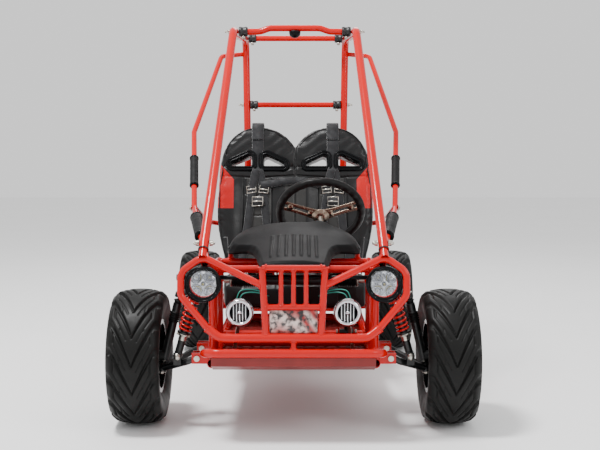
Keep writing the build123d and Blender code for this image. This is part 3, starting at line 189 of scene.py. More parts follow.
def band(tree, value, low, high):
    """A socket that is 1 where the value is from low to high."""
    over = add_node(tree, "ShaderNodeMath", {0: value, 1: low}, operation="GREATER_THAN")
    under = add_node(tree, "ShaderNodeMath", {0: value, 1: high}, operation="LESS_THAN")
    return add_node(tree, "ShaderNodeMath", {0: over.outputs[0], 1: under.outputs[0]},
                    operation="MULTIPLY").outputs[0]


def seat_vinyl(name, panels):
    """Leather-grained vinyl, black. With panels it has the seat back's red sides and its greyer middles."""
    constants = {"IOR": 1.5, "Specular IOR Level": 0.3, "Coat Weight": 0.1, "Coat Roughness": 0.3}
    material, tree, shader, place = new_material(name, constants)
    colour = mottled(tree, shader, place, "#101112", "#090a0b", 45 * MM, (0.3, 0.46)).outputs[2]
    # The hide's pebbles are 1.5 mm across, and they are drawn at 4 mm so that they show.
    pebbles = add_node(tree, "ShaderNodeTexVoronoi", {"Vector": place, "Scale": 1 / (4 * MM)},
                       feature="SMOOTH_F1")
    folds = add_node(tree, "ShaderNodeTexNoise", {"Vector": place, "Scale": 1 / (55 * MM), "Detail": 2.0,
                                                  "Distortion": 0.6})
    height = add_node(tree, "ShaderNodeMath", {0: pebbles.outputs["Distance"], 1: folds.outputs["Fac"]},
                      operation="ADD")
    relief(tree, shader, height.outputs[0], 0.5 * MM, 0.7)
    if panels:
        axes = add_node(tree, "ShaderNodeSeparateXYZ", {"Vector": place})
        out = add_node(tree, "ShaderNodeMath", {0: axes.outputs["X"]}, operation="ABSOLUTE").outputs[0]
        level = axes.outputs["Z"]
        # Each red panel's top edge rises by 1.1 times its way outwards. Each middle panel is 94 mm wide.
        slope = add_node(tree, "ShaderNodeMath", {0: out, 1: -1.1, 2: level},
                         operation="MULTIPLY_ADD").outputs[0]
        front = band(tree, axes.outputs["Y"], 0.0, 0.37)
        side = add_node(tree, "ShaderNodeMath",
                        {0: band(tree, slope, -1.0, 0.452), 1: band(tree, out, 0.235, 1.0)},
                        operation="MULTIPLY").outputs[0]
        low = add_node(tree, "ShaderNodeMath", {0: side, 1: band(tree, level, 0.602, 0.79)},
                       operation="MULTIPLY").outputs[0]
        red = add_node(tree, "ShaderNodeMath", {0: low, 1: front}, operation="MULTIPLY").outputs[0]
        pads = add_node(tree, "ShaderNodeMath",
                        {0: band(tree, out, 0.092, 0.186), 1: band(tree, out, -1.0, 0.04)},
                        operation="MAXIMUM").outputs[0]
        middle = add_node(tree, "ShaderNodeMath", {0: band(tree, level, 0.3, 0.715), 1: pads},
                          operation="MULTIPLY").outputs[0]
        for mask, shade in ((middle, "#2c2c2b"), (red, "#b80406")):
            colour = add_node(tree, "ShaderNodeMix", {"Factor": mask, 6: colour, 7: to_linear(shade)},
                              data_type="RGBA").outputs[2]
        tree.links.new(colour, shader.inputs["Base Color"])
    return material


def woven_webbing(name, light, dark):
    """Seat-belt webbing: polyester twill, with a soft sheen across its ribs."""
    constants = {"IOR": 1.46, "Sheen Weight": 0.4, "Sheen Roughness": 0.4}
    material, tree, shader, place = new_material(name, constants)
    mottled(tree, shader, place, light, dark, 18 * MM, (0.6, 0.8))
    # The twill's ribs are 1 mm apart on the belt, and 2.4 mm here so that they show.
    ribs = add_node(tree, "ShaderNodeTexWave",
                    {"Vector": place, "Scale": 1 / (2.4 * MM) / 20, "Distortion": 0.6},
                    bands_direction="DIAGONAL")
    relief(tree, shader, ribs.outputs["Fac"], 0.3 * MM)
    return material


def soft_pvc(name, light, dark, roughness):
    """Extruded PVC or moulded silicone: smooth and faintly cloudy."""
    material, tree, shader, place = new_material(name, {"IOR": 1.5})
    mottled(tree, shader, place, light, dark, 6 * MM, roughness)
    return material


def clear_lens(name):
    """A thin clear polycarbonate cover, a little hazed by road dust in patches."""
    material, tree, shader, place = new_material(name, {"IOR": 1.58, "Transmission Weight": 1.0})
    mottled(tree, shader, place, "#f6f8fa", "#f0f3f6", 20 * MM, (0.03, 0.06))
    return material


def printed_plate(name):
    """A printed aluminium plate: slanted red and dark bands that fade into each other, with no lettering."""
    constants = {"IOR": 1.5, "Coat Weight": 0.5, "Coat Roughness": 0.12}
    material, tree, shader, place = new_material(name, constants)
    bands = add_node(tree, "ShaderNodeTexWave",
                     {"Vector": place, "Scale": 1 / (58 * MM) / 3, "Distortion": 9.0,
                                                 "Detail": 2.0, "Detail Scale": 1.4},
                     bands_direction="DIAGONAL")
    splash = add_node(tree, "ShaderNodeTexNoise", {"Vector": place, "Scale": 1 / (15 * MM), "Detail": 3.0})
    ink = add_node(tree, "ShaderNodeMapRange",
                   {"Value": splash.outputs["Fac"], "From Min": 0.42, "From Max": 0.6})
    red = add_node(tree, "ShaderNodeMix", {"Factor": bands.outputs["Fac"], 6: to_linear("#d8c4bc"),
                                           7: to_linear("#a80a0e")}, data_type="RGBA")
    mix = add_node(tree, "ShaderNodeMix",
                   {"Factor": ink.outputs[0], 6: red.outputs[2], 7: to_linear("#1c1416")},
                   data_type="RGBA")
    tree.links.new(mix.outputs[2], shader.inputs["Base Color"])
    shader.inputs["Roughness"].default_value = 0.3
    return material


MATERIALS = {
    "frame_paint": powder_coat("red_powder_coat", "#c80000", "#b40000"),
    "spring_paint": powder_coat("spring_enamel", "#c40406", "#a80304"),
    "pan_paint": powder_coat("scuffed_red_enamel", "#8a2320", "#5e1b19", (0.3, 0.5)),
    "black_paint": satin_paint("satin_black_paint", "#131415", "#0c0d0e"),
    "rim_paint": powder_coat("gloss_black_enamel", "#101112", "#0a0b0c"),
    "tread_rubber": moulded_rubber("tyre_rubber", "#10100f", "#090908", (0.4, 0.56)),
    "bellows_rubber": moulded_rubber("bellows_rubber", "#0f0f0f", "#090909"),
    "foam_rubber": moulded_rubber("nitrile_foam", "#151516", "#0d0d0e", (0.5, 0.66), 2.4),
    "grip_foam": moulded_rubber("grip_foam", "#0f0e0e", "#090808", (0.4, 0.52), 3.0),
    "moulded_plastic": moulded_plastic("grained_polypropylene", "#08090a", "#050506", (0.46, 0.56), 2.2,
                                       0.12),
    "bezel_plastic": moulded_plastic("polished_abs", "#121315", "#0b0c0d", (0.16, 0.26), 3.0, 0.03),
    "lamp_chrome": plated_metal("chrome_plate", "#e6e6ea", "#cfd0d4", (0.05, 0.12)),
    "zinc_steel": plated_metal("zinc_plate", "#cdc9c0", "#a9a49a", (0.24, 0.4)),
    "spoke_aluminium": brushed_metal("bronze_anodised_aluminium", "#9a8878", "#6f5f54", (0.22, 0.36),
                                     (0.05, 1, 1)),
    "engine_aluminium": cast_metal("cast_aluminium", "#b9babb", "#8e8f90"),
    "seat_vinyl": seat_vinyl("grained_vinyl", panels=False),
    "belt_webbing": woven_webbing("polyester_webbing", "#15161a", "#0d0e11"),
}
SEAT_BACK_VINYL = seat_vinyl("grained_vinyl_with_panels", panels=True)
LENS = clear_lens("clear_polycarbonate")
PRINT = printed_plate("printed_plate")

SLOT_OF = {row["node"]: row["material_slot"] for row in frame["record"]["subparts"]}
BODY_OF = {node: body for body, nodes in frame["record"]["behaviour"]["bodies"].items() for node in nodes}
for node_name, node_object in frame["nodes"].items():
    node_object.data.materials.clear()
    node_object.data.materials.append(MATERIALS[SLOT_OF[node_name]])


# ------------------------------------------------------------------ ways of making a piece
def piece(name, vertices, faces, slot, body, material=None, smooth=True):
    """A mesh that rides on a body and takes its finish from a slot."""
    mesh = bpy.data.meshes.new(name)
    mesh.from_pydata([tuple(v) for v in vertices], [], faces)
    mesh.update()
    mesh.validate()
    for polygon in mesh.polygons:
        polygon.use_smooth = smooth
    made = bpy.data.objects.new(name, mesh)
    bpy.context.scene.collection.objects.link(made)
    mesh.materials.append(material or MATERIALS[slot])
    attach(made, body)
    return made


def join_geometry(parts):
    """Several (vertices, faces) pairs as one."""
    vertices, faces = [], []
    for more_vertices, more_faces in parts:
        start = len(vertices)
        vertices += more_vertices
        faces += [tuple(start + i for i in face) for face in more_faces]
    return vertices, faces


def placed(geometry, matrix):
    """The geometry moved by a matrix."""
    return [matrix @ Vector(v) for v in geometry[0]], geometry[1]


def mirrored(geometry):
    """The geometry on the kart's other side, with its faces still turned outwards."""
    vertices, faces = geometry
    return [Vector((-v[0], v[1], v[2])) for v in vertices], [tuple(reversed(face)) for face in faces]


def facing(origin, axis, up=(0, 0, 1)):
    """A matrix that takes +Z to the axis, at the origin."""
    axis = Vector(axis).normalized()
    side = Vector(up).cross(axis)
    if side.length < 1e-4:
        side = Vector((1, 0, 0))
    side.normalize()
    return Matrix.Translation(Vector(origin)) @ Matrix((side, axis.cross(side), axis)).transposed().to_4x4()


def lathe(profile, steps=48):
    """A surface of revolution about +Z from (radius, height) points in mm."""
    vertices = [Vector((r * MM * math.cos(a), r * MM * math.sin(a), h * MM))
                for a in (2 * math.pi * i / steps for i in range(steps)) for r, h in profile]
    count = len(profile)
    faces = []
    for i in range(steps):
        here, there = i * count, (i + 1) % steps * count
        faces += [(here + j, there + j, there + j + 1, here + j + 1) for j in range(count - 1)]
    return vertices, faces


def turned(profile, steps, place):
    """A surface of revolution, put in its place."""
    return placed(lathe(profile, steps), place)


def moved(x, y, z):
    """A matrix that moves by (x, y, z) mm."""
    return Matrix.Translation((x * MM, y * MM, z * MM))


def pipe(points, radius, sides=10, closed=False, caps=True):
    """A round bar through the points. radius is one number or one for each point."""
    points = [Vector(p) for p in points]
    count = len(points)
    radii = radius if isinstance(radius, (list, tuple)) else [radius] * count
    vertices, faces, side = [], [], None
    for i, point in enumerate(points):
        before = points[i - 1] if i or closed else point
        after = points[(i + 1) % count] if i < count - 1 or closed else point
        axis = (after - before).normalized()
        if side is None:
            side = axis.orthogonal().normalized()
        side = (side - axis * side.dot(axis)).normalized()
        other = axis.cross(side)
        vertices += [point + (side * math.cos(a) + other * math.sin(a)) * radii[i]
                     for a in (2 * math.pi * j / sides for j in range(sides))]
    for i in range(count if closed else count - 1):
        here, there = i * sides, (i + 1) % count * sides
        for j in range(sides):
            k = (j + 1) % sides
            faces.append((here + j, here + k, there + k, there + j))
    if caps and not closed:
        faces.append(tuple(reversed(range(sides))))
        faces.append(tuple(range((count - 1) * sides, count * sides)))
    return vertices, faces


def smooth_path(points, steps=8, closed=False):
    """A Catmull-Rom curve through the points."""
    points = [Vector(p) for p in points]
    count = len(points)
    path = []
    for i in range(count if closed else count - 1):
        a = points[(i - 1) % count] if closed or i else points[0]
        b, c = points[i], points[(i + 1) % count]
        d = points[(i + 2) % count] if closed or i < count - 2 else points[-1]
        for j in range(steps):
            t = j / steps
            path.append(0.5 * (2 * b + (c - a) * t + (2 * a - 5 * b + 4 * c - d) * t * t
                               + (3 * b - a - 3 * c + d) * t ** 3))
    if not closed:
        path.append(points[-1])
    return path


def slab(outline, low, high, inset=0.0):
    """A plate from an outline in the XY plane, with a chamfer of the given inset on its upper edge."""
    count = len(outline)
    middle = sum((Vector((x, y, 0)) for x, y in outline), Vector()) / count
    rings = [(low, 0.0), (high - inset, 0.0), (high, inset)] if inset else [(low, 0.0), (high, 0.0)]
    vertices = []
    for height, shrink in rings:
        for x, y in outline:
            away = (Vector((x, y, 0)) - middle).normalized() * shrink
            vertices.append(Vector((x - away.x, y - away.y, height)))
    faces = [(r * count + i, r * count + (i + 1) % count, (r + 1) * count + (i + 1) % count,
              (r + 1) * count + i)
             for r in range(len(rings) - 1) for i in range(count)]
    faces.append(tuple(reversed(range(count))))
    faces.append(tuple(range((len(rings) - 1) * count, len(rings) * count)))
    return vertices, faces


def circle(radius, count=24, x=0.0, y=0.0, turn=0.0):
    """Points round a circle in the XY plane."""
    return [(x + radius * math.cos(turn + 2 * math.pi * i / count),
             y + radius * math.sin(turn + 2 * math.pi * i / count))
            for i in range(count)]


def rounded_box(size, radius, steps=3):
    """A box about the origin with round edges upright and chamfered ends, in mm."""
    x, y, z = (value * MM / 2 for value in size)
    radius *= MM
    outline = []
    for cx, cy, start in ((x - radius, y - radius, 0), (radius - x, y - radius, 1),
                          (radius - x, radius - y, 2),
                          (x - radius, radius - y, 3)):
        for i in range(steps + 1):
            a = math.pi / 2 * (start + i / steps)
            outline.append((cx + radius * math.cos(a), cy + radius * math.sin(a)))
    return slab(outline, -z, z, min(radius, z) * 0.5)


def block(size, radius, place, steps=3):
    """A rounded box, put in its place."""
    return placed(rounded_box(size, radius, steps), place)


def smoothstep(low, high, value):
    """0 under low, 1 over high, and a smooth ramp between."""
    t = min(1.0, max(0.0, (value - low) / (high - low)))
    return t * t * (3 - 2 * t)


def middle_of(node_name):
    """The middle of a CAD node's box."""
    low, high = (Vector(corner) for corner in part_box(node_name))
    return (low + high) / 2


def joint_at(name):
    """A point on a joint's axis, where the CAD model puts it."""
    return next(Vector(joint["pos_m"]) for joint in frame["record"]["behaviour"]["joints"]
                if joint["name"] == name)


SIDES = (("left", 1), ("right", -1))


# ------------------------------------------------------------------ tyres
def tyre_geometry():
    """A knobbly tyre about the X axis at the origin: V-shaped lugs that sweep up and out from the middle."""
    low, high = (Vector(corner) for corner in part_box("front_tyre_left"))
    outer, half = (high.z - low.z) / 2, (high.x - low.x) / 2
    rim_radius, lug = 0.1115, 8 * MM
    chevrons, around, across = 15, 480, 48
    tread_half = half - 14 * MM
    section = []
    for i in range(across + 1):
        v = -1 + 2 * i / across
        section.append((v * tread_half, outer - 9 * MM * abs(v) ** 2.2, v))
    # Each sidewall runs from the tread's edge, out to the widest point and in to the bead.
    shoulder = [(0.97, 0.88, 1.06), (1.0, 0.76, 1.15), (0.995, 0.6, 1.2), (0.965, 0.4, 1.2),
                (0.91, 0.2, 1.2),
                (0.84, 0.08, 1.2), (0.79, 0.03, 1.2), (0.77, 0.0, 1.2), (0.7, -0.03, 1.2)]
    side = [(a * half, rim_radius + (outer - 9 * MM - rim_radius) * b, c) for a, b, c in shoulder]
    section = [(-x, r, -v) for x, r, v in reversed(side)] + section + side
    count = len(section)
    vertices = []
    for i in range(around):
        angle = 2 * math.pi * i / around
        for x, radius, v in section:
            out = abs(v)
            phase = (angle * chevrons / (2 * math.pi) - 1.45 * out ** 0.9 + (0.06 if v > 0 else 0)) % 1.0
            gap = 0.12 + 0.16 * out
            groove = smoothstep(0, 0.045, phase) * (1 - smoothstep(gap, gap + 0.045, phase))
            middle = gap + 0.5 * (1 - gap)
            sipe = 0.6 * smoothstep(0, 1, 1 - abs(phase - middle) / 0.05) * (0.22 < out < 0.9)
            rung = 0.5 * smoothstep(0, 1, 1 - abs(out - 0.55) / 0.035) * (gap + 0.1 < phase < middle)
            notch = smoothstep(0.8, 0.84, out) * (1 - smoothstep(0.88, 0.92, out))
            notch *= 0.6 if phase > middle else 0
            fade = 1 - smoothstep(1.0, 1.16, out)
            height = -max(groove, sipe, rung, notch) * fade
            rib = 0.7 * MM * math.sin(radius / (3.2 * MM)) * (1 if out > 1.19 else 0)
            r = radius + lug * height + rib
            vertices.append(Vector((x, -r * math.cos(angle), r * math.sin(angle))))
    faces = []
    for i in range(around):
        here, there = i * count, (i + 1) % around * count
        faces += [(here + j, here + j + 1, there + j + 1, there + j) for j in range(count - 1)]
    return vertices, faces


TYRE = tyre_geometry()
for side_name, _ in SIDES:
    node = f"front_tyre_{side_name}"
    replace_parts(piece(f"tyre_front_{side_name}", *placed(TYRE, Matrix.Translation(middle_of(node))),
                      "tread_rubber",
                      BODY_OF[node]), node)
rear_high = Vector(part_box("rear_tyres")[1])
tyre_low, tyre_high = (Vector(corner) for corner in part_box("front_tyre_left"))
rear_offset = rear_high.x - (tyre_high.x - tyre_low.x) / 2
rear_centre = middle_of("rear_tyres")
rear_pair = join_geometry([placed(TYRE,
                                  Matrix.Translation((sign * rear_offset, rear_centre.y, rear_centre.z)))
                           for sign in (1, -1)])
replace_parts(piece("tyres_rear", *rear_pair, "tread_rubber", "rear_axle"), "rear_tyres")

# ------------------------------------------------------------------ wheels' small parts
def lug_nuts(centre, sign, bolt_circle, face, bore):
    """Six nuts on their studs and a hub cap on the outer face of one wheel, in mm."""
    turn = facing(centre, (sign, 0, 0))
    parts = []
    for i in range(6):
        a = math.pi / 6 + i * math.pi / 3
        spot = moved(bolt_circle * math.cos(a), bolt_circle * math.sin(a), face)
        parts.append(placed(slab(circle(8.5 * MM, 6), 0, 9 * MM, 1.2 * MM), turn @ spot))
        parts.append(turned([(0, 15), (3.4, 14), (4, 12), (4, 8)], 12, turn @ spot))
    parts.append(turned([(0, 64), (8, 63), (13, 58), (bore, 30), (bore, face), (bore + 5, face)], 32, turn))
    return join_geometry(parts)


def valve(centre, sign):
    """A rubber tyre valve with its cap."""
    stem = facing(Vector(centre) + Vector((sign * 20 * MM, 0, 78 * MM)), (sign * 0.8, 0, -0.6))
    return turned([(0, 34), (3.4, 33), (4, 24), (3, 23), (3.6, 8), (6, 0), (0, -2)], 14, stem)


WHEELS = [(f"front_wheel_{name}", middle_of(f"front_tyre_{name}"), sign) for name, sign in SIDES]
WHEELS += [("rear_axle", Vector((sign * rear_offset, rear_centre.y, rear_centre.z)), sign)
           for sign in (1, -1)]
for index, (body, centre, sign) in enumerate(WHEELS):
    piece(f"wheel_nuts_{index}", *lug_nuts(centre, sign, 58, 17, 22), "zinc_steel", body)
    piece(f"tyre_valve_{index}", *valve(centre, sign), "tread_rubber", body)


# ------------------------------------------------------------------ springs
def coil(low, high, radius, wire, turns, steps=20):
    """A helical spring between two points, with its end turns closed up."""
    low, high = Vector(low), Vector(high)
    axis = high - low
    length = axis.length
    axis.normalize()
    side = axis.orthogonal().normalized()
    other = axis.cross(side)
    count = int(turns * steps)
    path = []
    for i in range(count + 1):
        t = i / count
        rise = smoothstep(0, 1, t) * 0.35 + t * 0.65
        a = 2 * math.pi * turns * t
        path.append(low + axis * (wire / 2 + (length - wire) * rise)
                    + (side * math.cos(a) + other * math.sin(a)) * radius)
    return pipe(path, wire / 2, 10)


def spring_ends(lower, upper, start, end):
    """The two ends of a spring that stands between two shares of its shock, in mm from the lower eye."""
    axis = (upper - lower).normalized()
    return lower + axis * start * MM, lower + axis * end * MM


SHOCK_LOWER, SHOCK_UPPER = joint_at("damper_swing_left"), joint_at("piston_rod_swing_left")
REAR_SHOCK_X = Vector((170 * MM, 0, 0))
REAR_LOWER = joint_at("rear_damper_swing") + REAR_SHOCK_X
REAR_UPPER = joint_at("rear_rod_swing") + REAR_SHOCK_X
for name, sign in SIDES:
    low, high = spring_ends(SHOCK_LOWER, SHOCK_UPPER, 74, 194)
    geometry = coil(low, high, 17.4 * MM, 6.2 * MM, 8.5)
    lower, axis = low.copy(), (high - low).normalized()
    if sign < 0:
        geometry = mirrored(geometry)
        lower.x, axis.x = -lower.x, -axis.x
    spring = piece(f"spring_front_{name}", *geometry, "spring_paint", f"damper_{name}")
    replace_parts(spring, f"shock_spring_{name}")
    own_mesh(spring)
low, high = spring_ends(REAR_LOWER, REAR_UPPER, 110, 307)
rear_coil = coil(low, high, 18.2 * MM, 6.0 * MM, 12)
spring = piece("springs_rear", *join_geometry([rear_coil, mirrored(rear_coil)]), "spring_paint",
               "rear_dampers")
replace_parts(spring, "rear_springs")
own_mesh(spring)


def damper_rings(lower, upper, start, diameter):
    """The threaded sleeve and the notched adjuster ring of a shock."""
    place = facing(lower, upper - lower)
    r = diameter / 2
    thread = [(r + (0.9 if i % 2 else 0.2), start - 26 + i * 1.5) for i in range(16)]
    ring = [(r, start - 12), (r + 8, start - 11), (r + 8, start - 5), (r, start - 4)]
    notches = [block((5, 3, 6), 1, place @ Matrix.Rotation(a, 4, "Z") @ moved(r + 8.5, 0, start - 8))
               for a in (i * math.pi / 3 for i in range(6))]
    return join_geometry([turned(thread, 32, place), turned(ring, 32, place), *notches])


for name, sign in SIDES:
    rings = damper_rings(SHOCK_LOWER, SHOCK_UPPER, 74, 23)
    piece(f"damper_rings_{name}", *(rings if sign > 0 else mirrored(rings)), "zinc_steel", f"damper_{name}")
rings = damper_rings(REAR_LOWER, REAR_UPPER, 110, 23)
piece("damper_rings_rear", *join_geometry([rings, mirrored(rings)]), "zinc_steel", "rear_dampers")


# ------------------------------------------------------------------ seats
SEAT_FOOT, RECLINE = Vector((0, 0.212, 0.372)), math.radians(13)
SEAT_UP = Vector((0, math.sin(RECLINE), math.cos(RECLINE)))
SEAT_OUT = Vector((0, -math.cos(RECLINE), math.sin(RECLINE)))
BUCKET = 144  # mm from the middle of the kart to the middle of a bucket


def on_seat(u, v, lift=0.0):
    """A point on the seat back's front plane: u across, v up and lift forwards, in mm."""
    return SEAT_FOOT + Vector((u, 0, 0)) * MM + SEAT_UP * v * MM + SEAT_OUT * lift * MM


def puffed(name, node, voxel, pressure, reach):
    """The node's shape blown up like a stuffed cover. No point moves more than reach."""
    source = frame["nodes"][node]
    mesh = source.data.copy()
    mesh.transform(source.matrix_world)
    made = bpy.data.objects.new(name, mesh)
    bpy.context.scene.collection.objects.link(made)
    evenly = made.modifiers.new("evenly", "REMESH")
    evenly.mode, evenly.voxel_size = "VOXEL", voxel
    made.data = bpy.data.meshes.new_from_object(made.evaluated_get(bpy.context.evaluated_depsgraph_get()))
    made.modifiers.clear()
    rest = [v.co.copy() for v in made.data.vertices]
    cloth = made.modifiers.new("stuffing", "CLOTH")
    cloth.settings.quality = 5
    cloth.settings.mass = 0.3
    cloth.settings.use_pressure = True
    cloth.settings.uniform_pressure_force = pressure
    cloth.settings.effector_weights.gravity = 0
    cloth.point_cache.frame_start, cloth.point_cache.frame_end = 1, 20
    for number in range(1, 21):
        bpy.context.scene.frame_set(number)
    blown = bpy.data.meshes.new_from_object(made.evaluated_get(bpy.context.evaluated_depsgraph_get()))
    made.modifiers.clear()
    made.data = blown
    for vertex, start in zip(blown.vertices, rest):
        move = vertex.co - start
        if move.length > reach:
            vertex.co = start + move * (reach / move.length)
    bpy.context.scene.frame_set(1)
    finer = made.modifiers.new("finer", "SUBSURF")
    finer.levels = finer.render_levels = 1
    made.data = bpy.data.meshes.new_from_object(made.evaluated_get(bpy.context.evaluated_depsgraph_get()))
    made.modifiers.clear()
    for polygon in made.data.polygons:
        polygon.use_smooth = True
    return made


def finish_soft(made, slot, body, node, material=None):
    """Gives a stuffed piece its finish, its body and the node that it stands for."""
    made.data.materials.clear()
    made.data.materials.append(material or MATERIALS[slot])
    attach(made, body)
    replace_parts(made, node)


def groove(distance, width):
    """1 in a groove's middle, falling to 0 over its width, in mm."""
    return math.exp(-(distance / width) ** 2)


def seat_relief(u, v):
    """How far the seat back's front stands out at (u, v) in mm: bolsters, channels, seams and wrinkles."""
    across = abs(abs(u) - BUCKET)
    side = smoothstep(50, 105, across)
    height = 9 * side * smoothstep(20, 120, v) * (1 - smoothstep(300, 380, v))
    height -= 5 * (1 - side) * smoothstep(10, 60, v) * (1 - smoothstep(300, 372, v))
    height += 5 * smoothstep(360, 410, v) * (1 - smoothstep(530, 560, v))
    seams = groove(across - 52, 3.2) * smoothstep(20, 40, v) * (1 - smoothstep(345, 360, v))
    seams = max(seams, groove(v - 352 - 0.06 * across, 3.2))
    seams = max(seams, groove(u, 4.5))
    for level in (120, 205, 285):
        seams = max(seams, 0.6 * groove(v - level - 0.1 * across, 3.0) * (1 - smoothstep(48, 52, across)))
    height -= 4.5 * seams
    pull = 1.2 * math.sin(u / 17 + 2.3 * math.sin(v / 31)) * math.sin(v / 12 + 1.7 * math.sin(u / 23))
    return height + pull * smoothstep(372, 420, v) + 0.3 * pull


def seat_back():
    """Both seats' one-piece back, with its bolsters, seams and red side panels."""
    made = puffed("seat_back_cover", "seat_back", 5.5 * MM, 4.0, 8 * MM)
    for vertex in made.data.vertices:
        offset = vertex.co - SEAT_FOOT
        forward, v, u = offset.dot(SEAT_OUT) / MM, offset.dot(SEAT_UP) / MM, vertex.co.x / MM
        front = smoothstep(-26, -4, forward)
        if front:
            vertex.co += SEAT_OUT * seat_relief(u, v) * front * MM
    finish_soft(made, "seat_vinyl", "chassis", "seat_back", SEAT_BACK_VINYL)
    return made


def seat_base():
    """Both seats' one-piece cushion, with a dished place for each rider."""
    made = puffed("seat_base_cover", "seat_base", 6 * MM, 4.0, 8 * MM)
    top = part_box("seat_base")[1][2]
    for vertex in made.data.vertices:
        u, y = vertex.co.x / MM, vertex.co.y / MM
        on_top = smoothstep(top - 46 * MM, top - 16 * MM, vertex.co.z)
        across = abs(abs(u) - 125)
        dish = 8 * smoothstep(60, 105, across) - 6 * (1 - smoothstep(40, 90, across))
        seams = max(groove(across - 62, 3.5), groove(u, 4.5),
                    0.6 * max(groove(y - level, 3.2) for level in (-30, 40, 110)))
        vertex.co.z += (dish - 4 * seams) * on_top * MM
    finish_soft(made, "seat_vinyl", "chassis", "seat_base")
    return made


def surface_of(made):
    """A tree that finds where a ray meets a piece."""
    return BVHTree.FromPolygons([v.co.copy() for v in made.data.vertices],
                                [tuple(p.vertices) for p in made.data.polygons])


BACK = seat_back()
BASE = seat_base()
BACK_SURFACE, BASE_SURFACE = surface_of(BACK), surface_of(BASE)


def against_back(u, v, lift=2.0):
    """The point in front of the seat back's cover at (u, v), stood off by lift mm."""
    hit = BACK_SURFACE.ray_cast(on_seat(u, v, 150), -SEAT_OUT, 0.2)[0]
    return (hit if hit else on_seat(u, v, -20)) + SEAT_OUT * lift * MM


def seat_outline(inset):
    """Points (u, v) in mm along the left half of the seat back's edge, moved inwards by the inset."""
    side = ((262, 12), (280, 60), (294, 120), (301, 190), (302, 270), (297, 345))
    points = [(u - inset, v) for u, v in side]
    points += [(BUCKET + (141 - inset) * math.cos(a), 419 + (141 - inset) * math.sin(a))
               for a in (math.pi / 2 * i / 12 for i in range(13))]
    points += [(BUCKET + (167.4 - inset) * math.cos(a), 392.6 + (167.4 - inset) * math.sin(a))
               for a in (math.radians(96 + 50 * i / 6) for i in range(7))]
    return points


edge = [against_back(u, v, 0.5) for u, v in seat_outline(13)]
piping = pipe(smooth_path(edge, 4), 2.6 * MM, 8)
centre_seam = pipe(smooth_path([against_back(0, v, 0.5) for v in range(30, 470, 40)], 4), 2.2 * MM, 8)
piece("seat_piping", *join_geometry([piping, mirrored(piping), centre_seam]), "seat_vinyl", "chassis")


def rounded_outline(corners, radii, steps=6):
    """A closed outline with each corner rounded by its radius."""
    points = []
    for i, corner in enumerate(corners):
        here = Vector(corner)
        back = (Vector(corners[i - 1]) - here).normalized()
        ahead = (Vector(corners[(i + 1) % len(corners)]) - here).normalized()
        half = back.angle(ahead) / 2
        reach = radii[i] / math.tan(half)
        for j in range(steps + 1):
            t = j / steps
            start, end = here + back * reach, here + ahead * reach
            points.append((start * (1 - t) ** 2 + here * 2 * t * (1 - t) + end * t * t))
    return points


def around(outline, profile, place):
    """A closed moulding: the profile's (out, height) points carried round an outline, in mm."""
    count, turns = len(profile), len(outline)
    middle = sum((Vector(p) for p in outline), Vector((0, 0))) / turns
    vertices = []
    for i, point in enumerate(outline):
        run = Vector(outline[(i + 1) % turns]) - Vector(outline[i - 1])
        out = Vector((run.y, -run.x)).normalized()
        if out.dot(Vector(point) - middle) < 0:
            out = -out
        vertices += [place(point[0] + out.x * d, point[1] + out.y * d, h) for d, h in profile]
    faces = [(i * count + j, (i + 1) % turns * count + j, (i + 1) % turns * count + j + 1,
              i * count + j + 1)
             for i in range(turns) for j in range(count - 1)]
    return vertices, faces


BEZEL = [(-2.5, -60), (-2.5, 6), (-1.5, 11), (1, 13.5), (4, 14), (6, 11.5), (7.5, 10.5), (9, 12.5),
         (12, 14.5), (15.5, 13), (17.6, 8), (18, 0), (18, -8)]
bezels = []
for bucket in (-BUCKET, BUCKET):
    for lean in (-1, 1):
        x, base = bucket + lean * 60, 418
        corners = [(x + lean * 44, base - 22), (x - lean * 40, base - 22), (x - lean * 40, base + 22),
                   (x - lean * 24, base + 26), (x + lean * 44, base - 6)]
        bezels.append(around(rounded_outline(corners, (7, 9, 8, 8, 8)), BEZEL, on_seat))
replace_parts(piece("headrest_frames", *join_geometry(bezels), "bezel_plastic", "chassis"), "headrest_bezels")


# ------------------------------------------------------------------ seat belts
def ribbon(points, normals, width, thickness=2.4 * MM):
    """Webbing with rolled edges that lies along the points and faces along the normals."""
    vertices, faces = [], []
    section = [(-0.5, -0.3), (-0.47, 0.5), (0, 0.62), (0.47, 0.5), (0.5, -0.3), (0, -0.5)]
    for i, (point, normal) in enumerate(zip(points, normals)):
        run = (points[min(i + 1, len(points) - 1)] - points[max(i - 1, 0)]).normalized()
        side = run.cross(normal).normalized()
        out = side.cross(run).normalized()
        vertices += [point + side * a * width + out * b * thickness for a, b in section]
    count = len(section)
    for i in range(len(points) - 1):
        faces += [(i * count + j, i * count + (j + 1) % count, (i + 1) * count + (j + 1) % count,
                   (i + 1) * count + j)
                  for j in range(count)]
    faces += [tuple(reversed(range(count))), tuple(range((len(points) - 1) * count, len(points) * count))]
    return vertices, faces


def belt_down(route, lift, width=30):
    """Webbing laid on the seat back through (u, v) points."""
    flat = smooth_path([Vector((u, v, 0)) for u, v in route], 8)
    points = [against_back(p.x, p.y, lift) for p in flat]
    for _ in range(3):
        points = [points[0]] + [(points[i - 1] + points[i] * 2 + points[i + 1]) / 4
                                for i in range(1, len(points) - 1)] + [points[-1]]
    return ribbon([p + SEAT_OUT * 2 * MM for p in points], [SEAT_OUT] * len(points), width * MM)


def belt_over(u):
    """Webbing that comes over the seat's top edge from behind."""
    over = ((500, -74), (540, -74), (566, -66), (572, -36), (570, -6), (556, 11), (530, 14))
    path = [on_seat(u, v, lift) for v, lift in over] + [against_back(u, 500, 7)]
    points = smooth_path(path, 6)
    middle = on_seat(u, 500, -32)
    return ribbon(points, [(p - middle).normalized() for p in points], 46 * MM)


